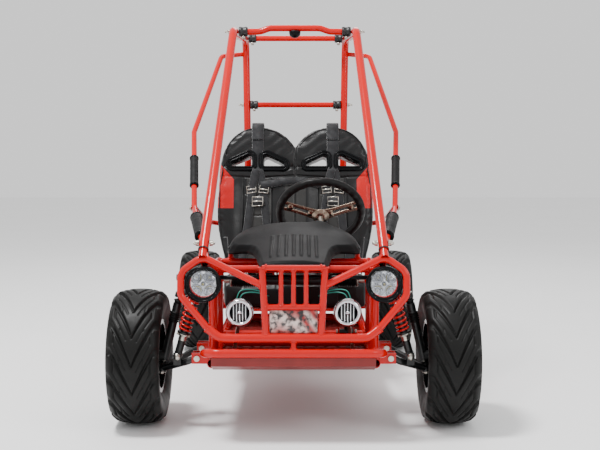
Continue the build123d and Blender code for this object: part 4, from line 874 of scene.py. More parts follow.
def buckle(u, v, lift, size, turn=0.0):
    """A belt fitting: a plated frame with a bar across it."""
    spot = against_back(u, v, lift)
    place = facing(spot, SEAT_OUT) @ Matrix.Rotation(turn, 4, "Z")
    w, h = size[0] / 2 * MM, size[1] / 2 * MM
    loop = pipe([place @ Vector(p) for p in ((-w, -h, 0), (w, -h, 0), (w, h, 0), (-w, h, 0))], 2.6 * MM, 8,
                closed=True)
    bar = pipe([place @ Vector((-w, 0, 1 * MM)), place @ Vector((w, 0, 1 * MM))], 3 * MM, 8)
    return join_geometry([loop, bar])


webbing, plated, moulded = [], [], []
for bucket in (-BUCKET, BUCKET):
    webbing.append(belt_over(bucket))
    webbing.append(belt_down([(bucket, 505), (bucket, 470), (bucket, 430), (bucket, 380)], 0.5, 44))
    for lean, low in ((-1, 52), (1, 60)):
        route = ((5, 384), (17, 330), (27, 250), (38, 160), (low, 60), (60, 25))
        webbing.append(belt_down([(bucket + lean * u, v) for u, v in route], 3 if lean > 0 else 6))
        plated.append(buckle(bucket + lean * 24, 306, 8, (34, 26), -lean * 0.14))
        moulded.append(block((46, 30, 9), 6, facing(against_back(bucket + lean * 44, 118, 9), SEAT_OUT)))
    webbing.append(belt_down([(bucket + u, v) for u, v in ((-26, 262), (-10, 259), (10, 259), (26, 262))], 9))
    plated.append(buckle(bucket, 259, 11, (40, 34)))
    lap = [Vector((bucket * MM + x * MM, 0.085, 0.5)) for x in range(-118, 119, 12)]
    lap = [(BASE_SURFACE.ray_cast(p, Vector((0, 0, -1)), 0.3)[0] or p) + Vector((0, 0, 4 * MM))
           for p in lap]
    webbing.append(ribbon(lap, [Vector((0, 0, 1))] * len(lap), 46 * MM))
    box_spot = Vector((bucket * MM, 0.085, lap[len(lap) // 2].z + 9 * MM))
    moulded.append(block((56, 68, 18), 9, Matrix.Translation(box_spot)))
    plated.append(block((40, 22, 3), 4, Matrix.Translation(box_spot + Vector((0, -0.012, 10 * MM)))))
webbing.append(belt_down([(-BUCKET + 12, 322), (-80, 330), (-30, 336), (20, 336), (80, 328),
                          (BUCKET - 12, 316)], 6, 28))
belts = piece("belt_webbing", *join_geometry(webbing), "belt_webbing", "chassis")
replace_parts(belts, "seat_belts")
piece("belt_fittings", *join_geometry(plated), "zinc_steel", "chassis")
piece("belt_buckles", *join_geometry(moulded), "bezel_plastic", "chassis")

# ------------------------------------------------------------------ nose cover
COVER_REAR, COVER_FRONT = Vector((0, -0.408, 0.5965)), Vector((0, -0.8, 0.5075))
COVER_RUN = COVER_FRONT - COVER_REAR
COVER_UP = Vector((1, 0, 0)).cross(-COVER_RUN).normalized()
COVER_PLAN = [(0.0, 138), (0.04, 168), (0.1, 192), (0.17, 204), (0.25, 206), (0.32, 200), (0.38, 184),
              (0.43, 160),
              (0.48, 138), (0.55, 121), (0.65, 110), (0.8, 101), (0.92, 95), (1.0, 89)]


def between(table, t):
    """The value at t of a table of (t, value) pairs, in straight runs."""
    for (a, low), (b, high) in zip(table, table[1:]):
        if t <= b:
            return low + (high - low) * (t - a) / (b - a)
    return table[-1][1]


def cover_height(x, t):
    """How far the cover stands above its middle line at x mm across and a share t of the way forwards."""
    height = -46 * (abs(x) / 206) ** 2.1
    ear = math.exp(-((abs(x) - 158) / 38) ** 2 - ((t - 0.22) / 0.13) ** 2)
    dome = 12 * math.exp(-((x - 82) / 30) ** 2 - (t / 0.14) ** 2)
    height += 7 * ear + dome
    for i in range(-3, 4):
        across = (x - 22 * i) / 3.6
        if abs(across) < 3:
            run = smoothstep(0.33, 0.36, t) * (1 - smoothstep(0.84, 0.88, t))
            height += 3.2 * math.exp(-across ** 4) * run
    return height


def nose_cover():
    """The moulded cover over the steering: an arched skin with ears, ribs and turned-down edges."""
    along, across = 90, 120
    vertices, faces = [], []
    for i in range(along + 1):
        t = i / along
        half = between(COVER_PLAN, t)
        for j in range(across + 1):
            s = -1 + 2 * j / across
            x = s * half
            drop = 15 * smoothstep(0.9, 1.0, abs(s)) ** 1.6 + 13 * smoothstep(0.955, 1.0, t) ** 1.6
            drop += 8 * (1 - smoothstep(0.0, 0.03, t)) ** 2
            notch = 3 if t < 0.012 and -112 < x < 30 and x % 9 < 4 else 0
            height = cover_height(x, t) - drop + notch
            vertices.append(COVER_REAR + COVER_RUN * t + COVER_UP * height * MM + Vector((x, 0, 0)) * MM)
    row = across + 1
    for i in range(along):
        for j in range(across):
            faces.append((i * row + j, (i + 1) * row + j, (i + 1) * row + j + 1, i * row + j + 1))
    # The flange turns straight down all round from the skin's edge.
    ring = [j for j in range(row)] + [i * row + across for i in range(1, along + 1)]
    ring += [along * row + j for j in range(across - 1, -1, -1)]
    ring += [i * row for i in range(along - 1, 0, -1)]
    start = len(vertices)
    middle = COVER_REAR + COVER_RUN * 0.45
    for index in ring:
        out = vertices[index] - middle
        out -= COVER_UP * out.dot(COVER_UP)
        vertices.append(vertices[index] - COVER_UP * 9 * MM + out.normalized() * 1 * MM)
    count = len(ring)
    for i in range(count):
        k = (i + 1) % count
        faces.append((ring[i], ring[k], start + k, start + i))
    made = piece("cover_moulding", vertices, faces, "moulded_plastic", "chassis")
    skin = made.modifiers.new("skin", "SOLIDIFY")
    skin.thickness, skin.offset = 2.6 * MM, 0
    return made


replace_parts(nose_cover(), "nose_cover")
caps = [turned([(0, 7), (6, 6), (9, 2), (9, -9)], 24, Matrix.Translation((sign * 0.196, -0.5, 0.518)))
        for sign in (1, -1)]
piece("cover_post_caps", *join_geometry(caps), "bezel_plastic", "chassis")


# ------------------------------------------------------------------ headlamps and horns
LAMP = Vector((0.256, -0.812, 0.447))
HORN = Vector((0.152, -0.822, 0.368))
AHEAD = facing((0, 0, 0), (0, -1, 0))


def both_sides(name, parts, slot, material=None, smooth=True):
    """One chassis piece out of left-hand parts and their mirror images."""
    return piece(name, *join_geometry(parts + [mirrored(part) for part in parts]), slot, "chassis",
                 material, smooth)


def at_front(centre, geometry):
    """The geometry turned to face forwards, at a centre."""
    return placed(geometry, Matrix.Translation(centre) @ AHEAD)


bucket_profile = [(0, -58), (20, -57), (31, -53), (40, -40), (46, -26), (50.5, -22), (52, -19), (52, -3),
                  (50, 0.4),
                  (47, 1.6), (44.5, 0.4), (43.5, -5), (43, -10)]
LAMP_BAR_Y, LAMP_BAR_Z = -0.744, 0.459
bar = pipe([(0, LAMP_BAR_Y, LAMP_BAR_Z), (0.322, LAMP_BAR_Y, LAMP_BAR_Z)], 6.5 * MM, 16)
stub = pipe([(0.316, LAMP_BAR_Y, LAMP_BAR_Z), (0.337, LAMP_BAR_Y, LAMP_BAR_Z)], 9 * MM, 16)
clip = block((18, 26, 26), 5, Matrix.Translation((LAMP.x, LAMP_BAR_Y, LAMP_BAR_Z)))
clip_screw = at_front(LAMP + Vector((0, 0.062, 0.012)), lathe([(0, 8), (8, 7), (8, 0)], 6))
lamps = both_sides("lamp_bodies", [at_front(LAMP, lathe(bucket_profile, 64)), bar, stub,
                                   clip, clip_screw], "bezel_plastic")
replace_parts(lamps, "headlamps")
reflector = [(43, -10), (41, -13), (0, -14)]
cup = [(3.6, -13.8), (7, -13.2), (11, -10.8), (14.5, -7), (16.6, -3.4), (17.6, -2.4), (18.6, -3.4),
       (18.9, -13.8)]
bowls = [at_front(LAMP, lathe(reflector, 48)), at_front(LAMP, lathe([(0, -6), (6, -6.4), (6.6, -14)], 24))]
chips, dots = [], []
for column in (-1, 1):
    for row in (-1, 1):
        spot = moved(column * 19.6, row * 19.6, 0)
        bowls.append(turned(cup, 40, Matrix.Translation(LAMP) @ AHEAD @ spot))
        chip = rounded_box((5, 5, 3), 1)
        chips.append(placed(chip, Matrix.Translation(LAMP) @ AHEAD @ spot @ moved(0, 0, -12.4)))
        for turn in (0, math.pi / 2):
            rib = block((31, 1.2, 1.2), 0.4, Matrix.Rotation(turn + math.pi / 4, 4, "Z"))
            bowls.append(placed(rib, Matrix.Translation(LAMP) @ AHEAD @ spot @ moved(0, 0, -5.6)))
dots.append(at_front(LAMP, lathe([(0, -4.6), (3, -5), (3.4, -7)], 20)))
LED = soft_pvc("led_silicone", "#f3df7a", "#e8d068", (0.3, 0.4))
both_sides("lamp_reflectors", bowls, "lamp_chrome")
both_sides("lamp_leds", chips + dots, "lamp_chrome", LED)
both_sides("lamp_lenses",
           [at_front(LAMP,
                     lathe([(0, 1.8), (20, 1.2), (43.6, -1.4), (43.6, -3.2), (20, -0.6), (0, 0)], 48))],
           "lamp_chrome", LENS)

horn_ring = [(27, -3), (28.5, 1.2), (31.5, 3.4), (35, 2.4), (37.6, -1), (39.4, -4), (40, -9), (40, -14),
             (37.5, -15)]
horn_dish = [(27.6, -2), (26.4, -9), (0, -11)]
horn_body = [(37.5, -14), (39, -19), (36, -24), (26, -34), (12, -36), (0, -36)]
slats = []
for x in (-17, -8.5, 8.5, 17):
    tall = math.sqrt(27 ** 2 - x ** 2) * 2
    slat = block((2.6, tall, 3), 0.8, moved(x, 0, -5))
    slats.append(at_front(HORN, slat))
boss = at_front(HORN, lathe([(0, 1.6), (4, 1.2), (4.6, -2), (7, -3), (7, -10)], 6))
spine = at_front(HORN, block((3, 53, 3), 0.8, moved(0, 0, -5)))
horns = both_sides("horn_rings", [at_front(HORN, lathe(horn_ring, 56)), boss, spine, *slats],
                   "lamp_chrome")
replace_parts(horns, "horns")
both_sides("horn_recesses", [at_front(HORN, lathe(horn_dish, 48))], "bezel_plastic")
terminal = block((14, 9, 12), 2, Matrix.Translation(HORN + Vector((0.012, 0.036, 0.02))))
both_sides("horn_bodies", [at_front(HORN, lathe(horn_body, 48)), terminal], "frame_paint")
stay_top, stay_foot = HORN + Vector((0, 0.034, 0)), Vector((HORN.x + 0.02, -0.717, 0.25))
stay = pipe([stay_top + Vector((0, -0.002, 0)), stay_top + Vector((0, 0.012, -0.006)), stay_foot], 5.5 * MM,
            12)
both_sides("horn_stays", [stay], "zinc_steel")
wires = []
for shift, rise in ((0.0, 0.03), (0.008, 0.022)):
    start = HORN + Vector((0.012 - shift, 0.04, 0.026))
    wires.append(pipe(smooth_path([start, start + Vector((-0.012, 0.004, rise)),
                                   start + Vector((-0.045, 0.02, rise + 0.002)),
                                   start + Vector((-0.085, 0.045, rise - 0.012))], 6), 1.7 * MM, 8))
WIRE = soft_pvc("pvc_wire_sleeve", "#219080", "#1b7c6c", (0.36, 0.46))
both_sides("horn_wires", wires, "bellows_rubber", WIRE)

# The badge plate's print is a skin on the front of the plate, with no lettering.
print_sheet = rounded_box((134, 64, 0.6), 4)
piece("badge_print", *at_front(Vector((0, -0.8389, 0.3458)), print_sheet), "frame_paint", "chassis", PRINT)


# ------------------------------------------------------------------ steering wheel
WHEEL_CENTRE = joint_at("steering_wheel_turn")
# The column rises towards the driver at 40 degrees, and +Y in the wheel's own frame is the rim's top.
COLUMN = Vector((0, 0.766044, 0.642788))
RIM_TOP = Vector((0, -0.642788, 0.766044))
WHEEL = Matrix.Translation(WHEEL_CENTRE) @ Matrix((Vector((1, 0, 0)), RIM_TOP, COLUMN)).transposed().to_4x4()
RIM_RADIUS, GRIP = 141, 14.2
DISH = 16  # mm from the rim's plane down to the hub


def wheel_rim():
    """The padded rim, with finger bumps underneath and a raised seam round its inside."""
    around_count, section = 240, 28
    vertices, faces = [], []
    for i in range(around_count):
        a = 2 * math.pi * i / around_count
        bump = 0.9 * math.cos(28 * a) * (1 if math.sin(a) > -0.3 else 0.3)
        for j in range(section):
            b = 2 * math.pi * j / section
            under = max(0.0, -math.sin(b))
            seam = 0.8 * math.exp(-((b - math.pi) / 0.12) ** 2)
            r = GRIP - 0.2 + bump * under + seam - 0.6 * math.exp(-((abs(b - math.pi) - 0.35) / 0.1) ** 2)
            reach = (RIM_RADIUS + r * math.cos(b)) * MM
            vertices.append(Vector((reach * math.cos(a), reach * math.sin(a), r * math.sin(b) * MM)))
    for i in range(around_count):
        here, there = i * section, (i + 1) % around_count * section
        faces += [(here + j, there + j, there + (j + 1) % section, here + (j + 1) % section)
                  for j in range(section)]
    return placed((vertices, faces), WHEEL)


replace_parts(piece("wheel_grip", *wheel_rim(), "grip_foam", "steering_wheel"), "steering_wheel_rim")


def spoke_height(share):
    """A spoke's height over the rim's plane, in mm, at a share of the way from the hub to the rim."""
    return -2.5 - DISH * (1 - share) ** 1.3


def spoke(angle, wide, narrow, reach, slot_low, slot_high, slot_width):
    """One dished spoke with a long slot and bright rounded edges, as two rails, a root and an end."""
    parts = []
    for side in (-1, 1):
        rail = []
        for t in (0.0, 0.15, 0.35, 0.6, 0.85, 1.0):
            r = 12 + (reach - 12) * t
            half = narrow + (wide - narrow) * (1 - math.sin(math.pi * min(1.0, t * 0.85))) ** 1.2
            rail.append(Vector((r, side * half, spoke_height(t))) * MM)
        rail = smooth_path(rail, 5)
        parts.append(ribbon(rail, [Vector((0, 0, 1))] * len(rail), (wide - slot_width / 2) * 1.15 * MM,
                            4 * MM))
        parts.append(pipe([p + Vector((0, side * (wide - slot_width / 2) * 0.55 * MM, 0)) for p in rail],
                          1.5 * MM, 8))
    for r in (slot_low, slot_high):
        cross = [Vector((r, y, spoke_height((r - 12) / (reach - 12)) - 1)) * MM
                 for y in (-wide * 0.8, 0, wide * 0.8)]
        parts.append(ribbon(cross, [Vector((0, 0, 1))] * 3, 22 * MM, 4 * MM))
    return placed(join_geometry(parts), WHEEL @ Matrix.Rotation(math.radians(angle), 4, "Z"))


spokes = [spoke(15, 17, 12, 134, 34, 108, 12), spoke(165, 17, 12, 134, 34, 108, 12),
          spoke(270, 13, 10, 134, 34, 108, 10)]
HUB = WHEEL @ moved(0, 0, -DISH)
hub_plate = turned([(0, 0.5), (27, 0.2), (30, -1.6), (30, -6), (21, -8), (21, -10), (10, -11)], 48, HUB)
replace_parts(piece("wheel_spokes", *join_geometry(spokes + [hub_plate]), "spoke_aluminium",
                  "steering_wheel"),
            "steering_wheel_spokes")
hub_bits = [turned([(0, 3.5), (3.4, 3), (4.2, 0.5), (4.2, -1)], 12,
                   HUB @ moved(20 * math.cos(a), 20 * math.sin(a), 0))
            for a in (i * math.pi / 3 for i in range(6))]
piece("wheel_screws", *join_geometry(hub_bits), "zinc_steel", "steering_wheel")
cap = lathe([(0, 7), (7, 6.4), (12, 4), (13.5, 0.4), (13.5, -(DISH + 1))], 32)
piece("wheel_centre_cap", *placed(cap, WHEEL), "bezel_plastic", "steering_wheel")


# ------------------------------------------------------------------ rubber sleeves and foam pads
def ribbed(length, low, high, ribs, mouth):
    """A gaiter along +Z: rounded ribs between two plain collars."""
    profile = [(mouth, 0), (low + 1.5, 0.5), (low + 1.5, 8)]
    for i in range(ribs):
        z = 9 + (length - 18) * i / ribs
        step = (length - 18) / ribs
        profile += [(low, z), ((low + high) / 2, z + step * 0.2), (high, z + step * 0.42),
                    (high, z + step * 0.58),
                    ((low + high) / 2, z + step * 0.8)]
    profile += [(low, length - 9), (low + 1.5, length - 8), (low + 1.5, length - 0.5), (mouth, length)]
    return lathe(profile, 40)


bellows = placed(ribbed(88, 18, 24.6, 11, 16.4), facing((0.11, -0.535, 0.426), (1, 0, 0)))
ties = [turned([(19.6, z), (20.6, z + 0.6), (20.6, z + 4.4), (19.6, z + 5)], 40,
               facing((0.11, -0.535, 0.426), (1, 0, 0))) for z in (1.5, 81.5)]
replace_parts(both_sides("rack_gaiters", [bellows], "bellows_rubber"), "rack_bellows")
both_sides("gaiter_clips", ties, "zinc_steel")

pads = puffed("foam_pads", "guard_pads", 3.5 * MM, 3.0, 2.5 * MM)
for vertex in pads.data.vertices:
    wave = math.sin(vertex.co.y * 310 + vertex.co.z * 170) * 0.25
    wave += math.sin(vertex.co.z * 520 + vertex.co.x * 240) * 0.15
    vertex.co += Vector((0.3, 0.5, 0.8)) * wave * MM
finish_soft(pads, "foam_rubber", "chassis", "guard_pads")

GUARD_ROUTE = [Vector(p) * MM for p in ((367, 92, 888), (339, -205, 628), (262, -610, 497))]
rings = []
for a, b, start, end, radius in ((GUARD_ROUTE[0], GUARD_ROUTE[1], 0.36, 0.72, 15),
                                 (GUARD_ROUTE[1], GUARD_ROUTE[2], 0.2, 0.58, 20)):
    for share, out in ((start, -1), (end, 1)):
        centre, axis = a + (b - a) * share, (b - a).normalized() * out
        rings.append(turned([(9.8, 3), (radius * 0.9, 3), (radius + 1.2, 0), (radius + 1.2, -5),
                             (radius * 0.94, -7)], 32, facing(centre, axis)))
both_sides("pad_end_rings", rings, "bezel_plastic")

# ------------------------------------------------------------------ weld beads
def bead(start, axis, radius, main_point=None, main_axis=None, main_radius=0.0, size=2.2):
    """A weld round the foot of a tube, along the side of the main tube that it stands on, in mm."""
    start, axis = Vector(start) * MM, Vector(axis).normalized()
    side = axis.orthogonal().normalized()
    other = axis.cross(side)
    path, radii = [], []
    for i in range(64):
        a = 2 * math.pi * i / 64
        point = start + (side * math.cos(a) + other * math.sin(a)) * (radius + 0.6) * MM
        if main_radius:
            base, line = Vector(main_point) * MM, Vector(main_axis).normalized()
            run = axis - line * axis.dot(line)
            gap = (point - base) - line * (point - base).dot(line)
            qa, qb, qc = run.length_squared, 2 * gap.dot(run), gap.length_squared - (main_radius * MM) ** 2
            root = max(0.0, qb * qb - 4 * qa * qc)
            shift = (-qb + math.sqrt(root)) / (2 * qa)
            point += axis * max(-1.2 * main_radius * MM, min(1.6 * main_radius * MM, shift))
        path.append(point)
        radii.append((size + 0.55 * math.sin(i * math.pi / 2) + random.uniform(-0.15, 0.15)) * MM)
    return pipe(path, radii, 8, closed=True)


X, Y, Z = (1, 0, 0), (0, 1, 0), (0, 0, 1)
welds = []
for y in (-752, -300, 60, 288):
    welds.append(bead((235, y, 214), (-1, 0, 0), 14, (235, y, 214), Y, 14))
for y in (-700, -500):
    welds.append(bead((235, y, 214), Z, 14, (235, y, 214), Y, 14))
    welds.append(bead((235, y, 478), (0, 0, -1), 14, (235, y, 478), Y, 12.5))
    welds.append(bead((235, y, 478), (-1, 0, 0), 11, (235, y, 478), Y, 12.5))
for y in (20, 230):
    welds.append(bead((268, y, 262), (-1, 0, 0), 11, (268, y, 262), Y, 12.5))
for z in (626, 560, 400):
    direction, size = ((-1, 0, 0), 14) if z == 626 else ((0, 1, 0), 14) if z == 400 else ((0, -1, 0.35), 11)
    welds.append(bead((235, 500, z), direction, size, (235, 500, z), Z, 14))
welds.append(bead((89, -395, 548), (0, 0.94, 0.3), 8, (89, -395, 548), X, 11))
welds.append(bead((196, -500, 478), Z, 8, (196, -500, 478), X, 11))
welds.append(bead((88, -837.5, 497), (0.08, 0, -1), 9.5, size=2.0))
welds.append(bead((77, -837.5, 300), (0.06, 0, 1), 9.5, (0, -840.5, 300), X, 12.5))
welds.append(bead((84, -837.5, 497), (-1, 0, 0), 8, (86, -837.5, 497), Z, 9.5))
welds.append(bead((82, -837.5, 387), (-1, 0, 0), 8, (82, -837.5, 387), Z, 9.5))
welds.append(bead((92, -832.5, 449), (0.82, 0.17, 0.37), 10, (86, -837.5, 449), Z, 9.5))
for x in (35, 0):
    welds.append(bead((x, -837.5, 497), (0, 0, -1), 6.5, (0, -837.5, 497), X, 8))
    welds.append(bead((x, -837.5, 387), Z, 6.5, (0, -837.5, 387), X, 8))
welds.append(bead((0, -840.5, 300), (0, -0.16, -1), 8, (0, -840.5, 300), X, 12.5))
welds.append(bead((0, -847.5, 258), (0, 0.16, 1), 8, (0, -847.5, 258), X, 12.5))
welds.append(bead((240, -832.5, 325), (0.62, 0.1, 0.77), 11, size=2.0))
welds.append(bead((235, -715, 236), (0.2, -0.95, 0.1), 12.5, (235, -715, 225), Z, 14))
for y in (-695, -665, -535, -505):
    welds.append(bead((243, y, 214), X, 7, size=1.8))
both_sides("weld_beads", welds, "frame_paint")


# ------------------------------------------------------------------ clamps and bolts of the cage
def wing_bolt(centre, axis):
    """A wing bolt: a washer, a boss and two wings."""
    place = facing(centre, axis)
    boss = lathe([(0, 14), (3.6, 13.6), (4.6, 12), (5.6, 2.4), (9, 2), (9, 0)], 24)
    wings = [block((14, 3, 11), 1.4, Matrix.Rotation(s * 0.35, 4, "Y") @ moved(s * 9, 0, 12), 3)
             for s in (-1, 1)]
    return placed(join_geometry([boss, *wings]), place)


def hex_bolt(centre, axis, across=8.5, height=6, washer=11):
    """A hexagon head on a washer."""
    place = facing(centre, axis)
    head = slab(circle(across * MM, 6), 1.6 * MM, (1.6 + height) * MM, 1.2 * MM)
    return placed(join_geometry([head, lathe([(0, 1.6), (washer, 1.6), (washer, 0)], 28)]), place)


HOOP_FOOT, HOOP_CORNER, ROOF_REAR = (Vector(p) * MM
                                     for p in ((255, -790, 545), (209, -130, 1228), (200, 540, 1268)))
leg = (HOOP_CORNER - HOOP_FOOT).normalized()
foot_bolt = HOOP_FOOT + leg * 22 * MM
fittings = [wing_bolt(foot_bolt + Vector((15.4 * MM, 0, 0)), X),
            wing_bolt(foot_bolt - Vector((15.4 * MM, 0, 0)), (-1, 0, 0))]
roof = ROOF_REAR - HOOP_CORNER
front_bar, rear_bar = HOOP_CORNER + roof * 0.09, HOOP_CORNER + roof * 0.9
brace = Vector((196.7, 522.5, 1004)) * MM
for end in (front_bar, rear_bar, brace):
    fittings.append(wing_bolt(end + Vector((15.4 * MM, 0, 0)), X))
fittings.append(hex_bolt(Vector((0.3488, -0.205, 0.628)), X, 6, 5, 11))
both_sides("cage_fittings", fittings, "zinc_steel")

clamp_parts = []
for end in (front_bar, rear_bar, brace):
    inner = end.x - 14.3 * MM
    place = facing((inner - 1 * MM, end.y, end.z), (-1, 0, 0))
    clamp_parts.append(turned([(11.3, -0.4), (15, -0.4), (17, 1.4), (17, 9), (15.8, 10.5), (15.8, 20),
                               (17, 21.5), (17, 28), (15, 30), (11.3, 30)], 40, place))
    lug = rounded_box((11, 22, 12), 3)
    clamp_parts.append(placed(lug, Matrix.Translation((inner - 16 * MM, end.y + 1 * MM, end.z - 19 * MM))))
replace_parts(both_sides("roof_clamps", clamp_parts, "black_paint"), "cage_clamps")
clamp_screws = [hex_bolt(end - Vector((30.3, 9, 20)) * MM, (0, -1, 0), 4.5, 4, 6)
                for end in (front_bar, rear_bar, brace)]
both_sides("clamp_screws", clamp_screws, "zinc_steel")

# The dome lamp under the middle of the front roof bar.
dome_spot = Vector((0, front_bar.y, front_bar.z - 1 * MM))
dome = turned([(0, -21), (11, -19), (18, -12), (20, -3), (20, 2), (17, 4)], 40,
              Matrix.Translation(dome_spot))
piece("roof_lamp", *dome, "bezel_plastic", "chassis")

# Welded seams at the feet of the hoops: the socket's collar shows as a thin ring.
sockets = [turned([(14, -2), (15.4, -1.4), (15.4, 1.4), (14, 2)], 36,
                  facing(HOOP_FOOT - leg * 1 * MM, leg))]
both_sides("hoop_foot_rings", sockets, "black_paint")


# ------------------------------------------------------------------ front suspension's rubber and nuts
def joint_boot(centre, axis, low, high, length):
    """A rubber boot over a ball joint, from its wide mouth to its neck."""
    place = facing(centre, axis)
    boot = lathe([(low, 0), (high, 2), (high * 1.08, length * 0.35), (high * 0.8, length * 0.55),
                  (high * 0.9, length * 0.7), (high * 0.6, length * 0.9), (high * 0.5, length)], 32)
    return placed(boot, place)


LOWER_BALL, UPPER_BALL = joint_at("ball_joint_level_left"), Vector((0.345, -0.6, 0.388))
KINGPIN = (UPPER_BALL - LOWER_BALL).normalized()
for name, sign in SIDES:
    turn = (lambda g: g) if sign > 0 else mirrored
    boots = [joint_boot(UPPER_BALL - KINGPIN * 13 * MM, -KINGPIN, 9, 13, 15)]
    ribs = [turned([(13, 0), (16.5, 3), (13.6, 6)], 32,
                   facing(UPPER_BALL - KINGPIN * (52 + 6.4 * i) * MM, -KINGPIN)) for i in range(5)]
    piece(f"upright_boot_{name}", *turn(join_geometry(boots + ribs)), "bellows_rubber", f"knuckle_{name}")
    lower = joint_boot(LOWER_BALL + KINGPIN * 9 * MM, KINGPIN, 9, 13, 13)
    piece(f"lower_boot_{name}", *turn(lower), "bellows_rubber", f"ball_joint_{name}")
    nut = hex_bolt(LOWER_BALL - KINGPIN * 7.2 * MM, -KINGPIN, 9, 7, 14)
    piece(f"ball_nut_{name}", *turn(nut), "zinc_steel", f"lower_arm_{name}")
    cap = hex_bolt(UPPER_BALL + KINGPIN * 7.2 * MM, KINGPIN, 8, 6, 13)
    piece(f"upper_nut_{name}", *turn(cap), "zinc_steel", f"upper_arm_{name}")
    pins = [hex_bolt(SHOCK_LOWER + Vector((0, s * 0.0216, 0)), (0, s, 0), 8, 6, 10) for s in (-1, 1)]
    piece(f"shock_bolts_{name}", *turn(join_geometry(pins)), "zinc_steel", f"lower_arm_{name}")
    tie_in, tie_out = joint_at("tie_rod_lift_left"), Vector((0.348, -0.535, 0.376))
    along = (tie_out - tie_in).normalized()
    rod = [turned([(6, 0), (9, 1), (9, 9), (6, 10)], 6, facing(tie_in + along * s * MM, along))
           for s in (20, 92)]
    piece(f"tie_rod_nuts_{name}", *turn(join_geometry(rod)), "zinc_steel", f"tie_rod_{name}")


# ------------------------------------------------------------------ pedals and floor
PEDALS = (("brake_pedal", 0.04, 78), ("throttle_pedal", 0.165, 56))
for node, x, width in PEDALS:
    tilt = Matrix.Translation((x, -0.475, 0.366)) @ Matrix.Rotation(math.radians(16), 4, "X")
    ribs = [block((width - 8, 3, 4.4), 1, tilt @ moved(0, 4.6, -29 + 8.3 * i))
            for i in range(8)]
    plate = block((width - 4, 2, 66), 0.9, tilt @ moved(0, 4, 0))
    piece(f"{node}_rubber", *join_geometry([plate, *ribs]), "bellows_rubber", node)

studs = []
for i in range(13):
    for j in range(22):
        x, y = (-0.204 + 0.034 * i), (-0.73 + 0.037 * j)
        lean = math.pi / 4 * (1 if (i + j) % 2 else -1)
        stud = block((19, 4.5, 1.6), 2.2,
                     Matrix.Translation((x, y, 0.2003)) @ Matrix.Rotation(lean, 4, "Z"))
        studs.append(stud)
piece("floor_tread", *join_geometry(studs), "pan_paint", "chassis")

# ------------------------------------------------------------------ engine, tank and exhaust
def rear_piece(name, parts, slot, nodes=(), material=None):
    """One piece that rides on the swing arm."""
    made = piece(name, *join_geometry(parts), slot, "swing_arm", material)
    if nodes:
        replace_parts(made, *nodes)
    return made


def box_at(low, high, radius, turn=None):
    """A rounded box between two corners, in mm. Its round edges run along +Z unless it is turned."""
    low, high = Vector(low), Vector(high)
    size = high - low
    if turn == "X":
        shape = block((size.z, size.y, size.x), radius, Matrix.Rotation(math.pi / 2, 4, "Y"), 5)
    else:
        shape = rounded_box(size, radius, 5)
    return placed(shape, Matrix.Translation((low + high) / 2 * MM))


head = moved(20, 716, 372) @ Matrix.Rotation(math.radians(-65), 4, "X")
case = [box_at((-50, 542, 252), (90, 688, 388), 22, "X"), box_at((-58, 560, 262), (-48, 672, 376), 26, "X"),
        box_at((-40, 548, 386), (80, 640, 398), 10)]
for x in (-34, -12, 12, 36, 60):
    case.append(box_at((x - 2, 538, 262), (x + 2, 545, 372), 1))
for y, z in ((566, 268), (666, 268), (566, 366), (666, 366), (616, 258), (616, 380)):
    case.append(turned([(0, 7), (6, 7), (6.6, 5), (6.6, 0), (10, 0), (10, -3)], 16,
                       facing(Vector((-58, y, z)) * MM, (-1, 0, 0))))
barrel = [block((96, 68, 100), 14, head, 5)]
for i in range(11):
    z = -44 + i * 8.2
    inset = 0 if i % 2 == 0 else 3
    barrel.append(block((126 - inset, 90 - inset, 2.6), 9, head @ moved(0, 0, z), 4))
barrel.append(block((88, 62, 12), 12, head @ moved(0, 0, 47), 5))
rear_piece("engine_case", case + barrel, "engine_aluminium", ("engine_block",))
plug = facing(head @ Vector((-20 * MM, 0, 52 * MM)), (head.to_3x3() @ Vector((0, 0, 1))))
plug_parts = [turned([(0, 26), (9, 25), (10, 20), (8, 4), (8, 0)], 20, plug)]
lead_start = plug @ Vector((0, 0, 22 * MM))
plug_parts.append(pipe(smooth_path([lead_start, lead_start + Vector((0.0, 0.012, 0.016)),
                                    lead_start + Vector((0.02, 0.004, 0.042)),
                                    lead_start + Vector((0.05, -0.04, 0.05)), Vector((0.1, 0.66, 0.44))],
                                   8), 3.4 * MM, 10))
rear_piece("spark_plug_lead", plug_parts, "bellows_rubber")
cover_parts = [turned([(0, 52), (30, 52), (34, 49), (60, 49), (76, 44), (86, 32), (88, 20), (88, 0),
                       (0, 0)], 64, facing(Vector((92, 610, 338)) * MM, X))]
rear_piece("recoil_cover", cover_parts, "black_paint")
# Painted shade: the cover's vent slots are openings, and dark blocks in the rubber finish on its face stand
# in for the shade seen through them.
slot_shades = []
for ring, count in ((44, 14), (56, 18)):
    for i in range(count):
        a = 2 * math.pi * i / count
        spot = facing(Vector((141.4, 610, 338)) * MM, X) @ Matrix.Rotation(a, 4, "Z") @ moved(ring, 0, 0)
        slot_shades.append(block((9, 3.6, 1.6), 1.7, spot))
rear_piece("recoil_slot_shades", slot_shades, "bellows_rubber")
handle = [pipe([Vector((128, 560, 428)) * MM, Vector((128, 588, 434)) * MM], 6 * MM, 12),
          box_at((116, 566, 414), (138, 584, 430), 4)]
for i in range(3):
    a = math.radians(30 + 120 * i)
    spot = Vector((143.2, 610 + 27 * math.cos(a), 338 + 27 * math.sin(a))) * MM
    handle.append(hex_bolt(spot, X, 4.5, 4, 6))
rear_piece("recoil_fittings", handle, "bezel_plastic")

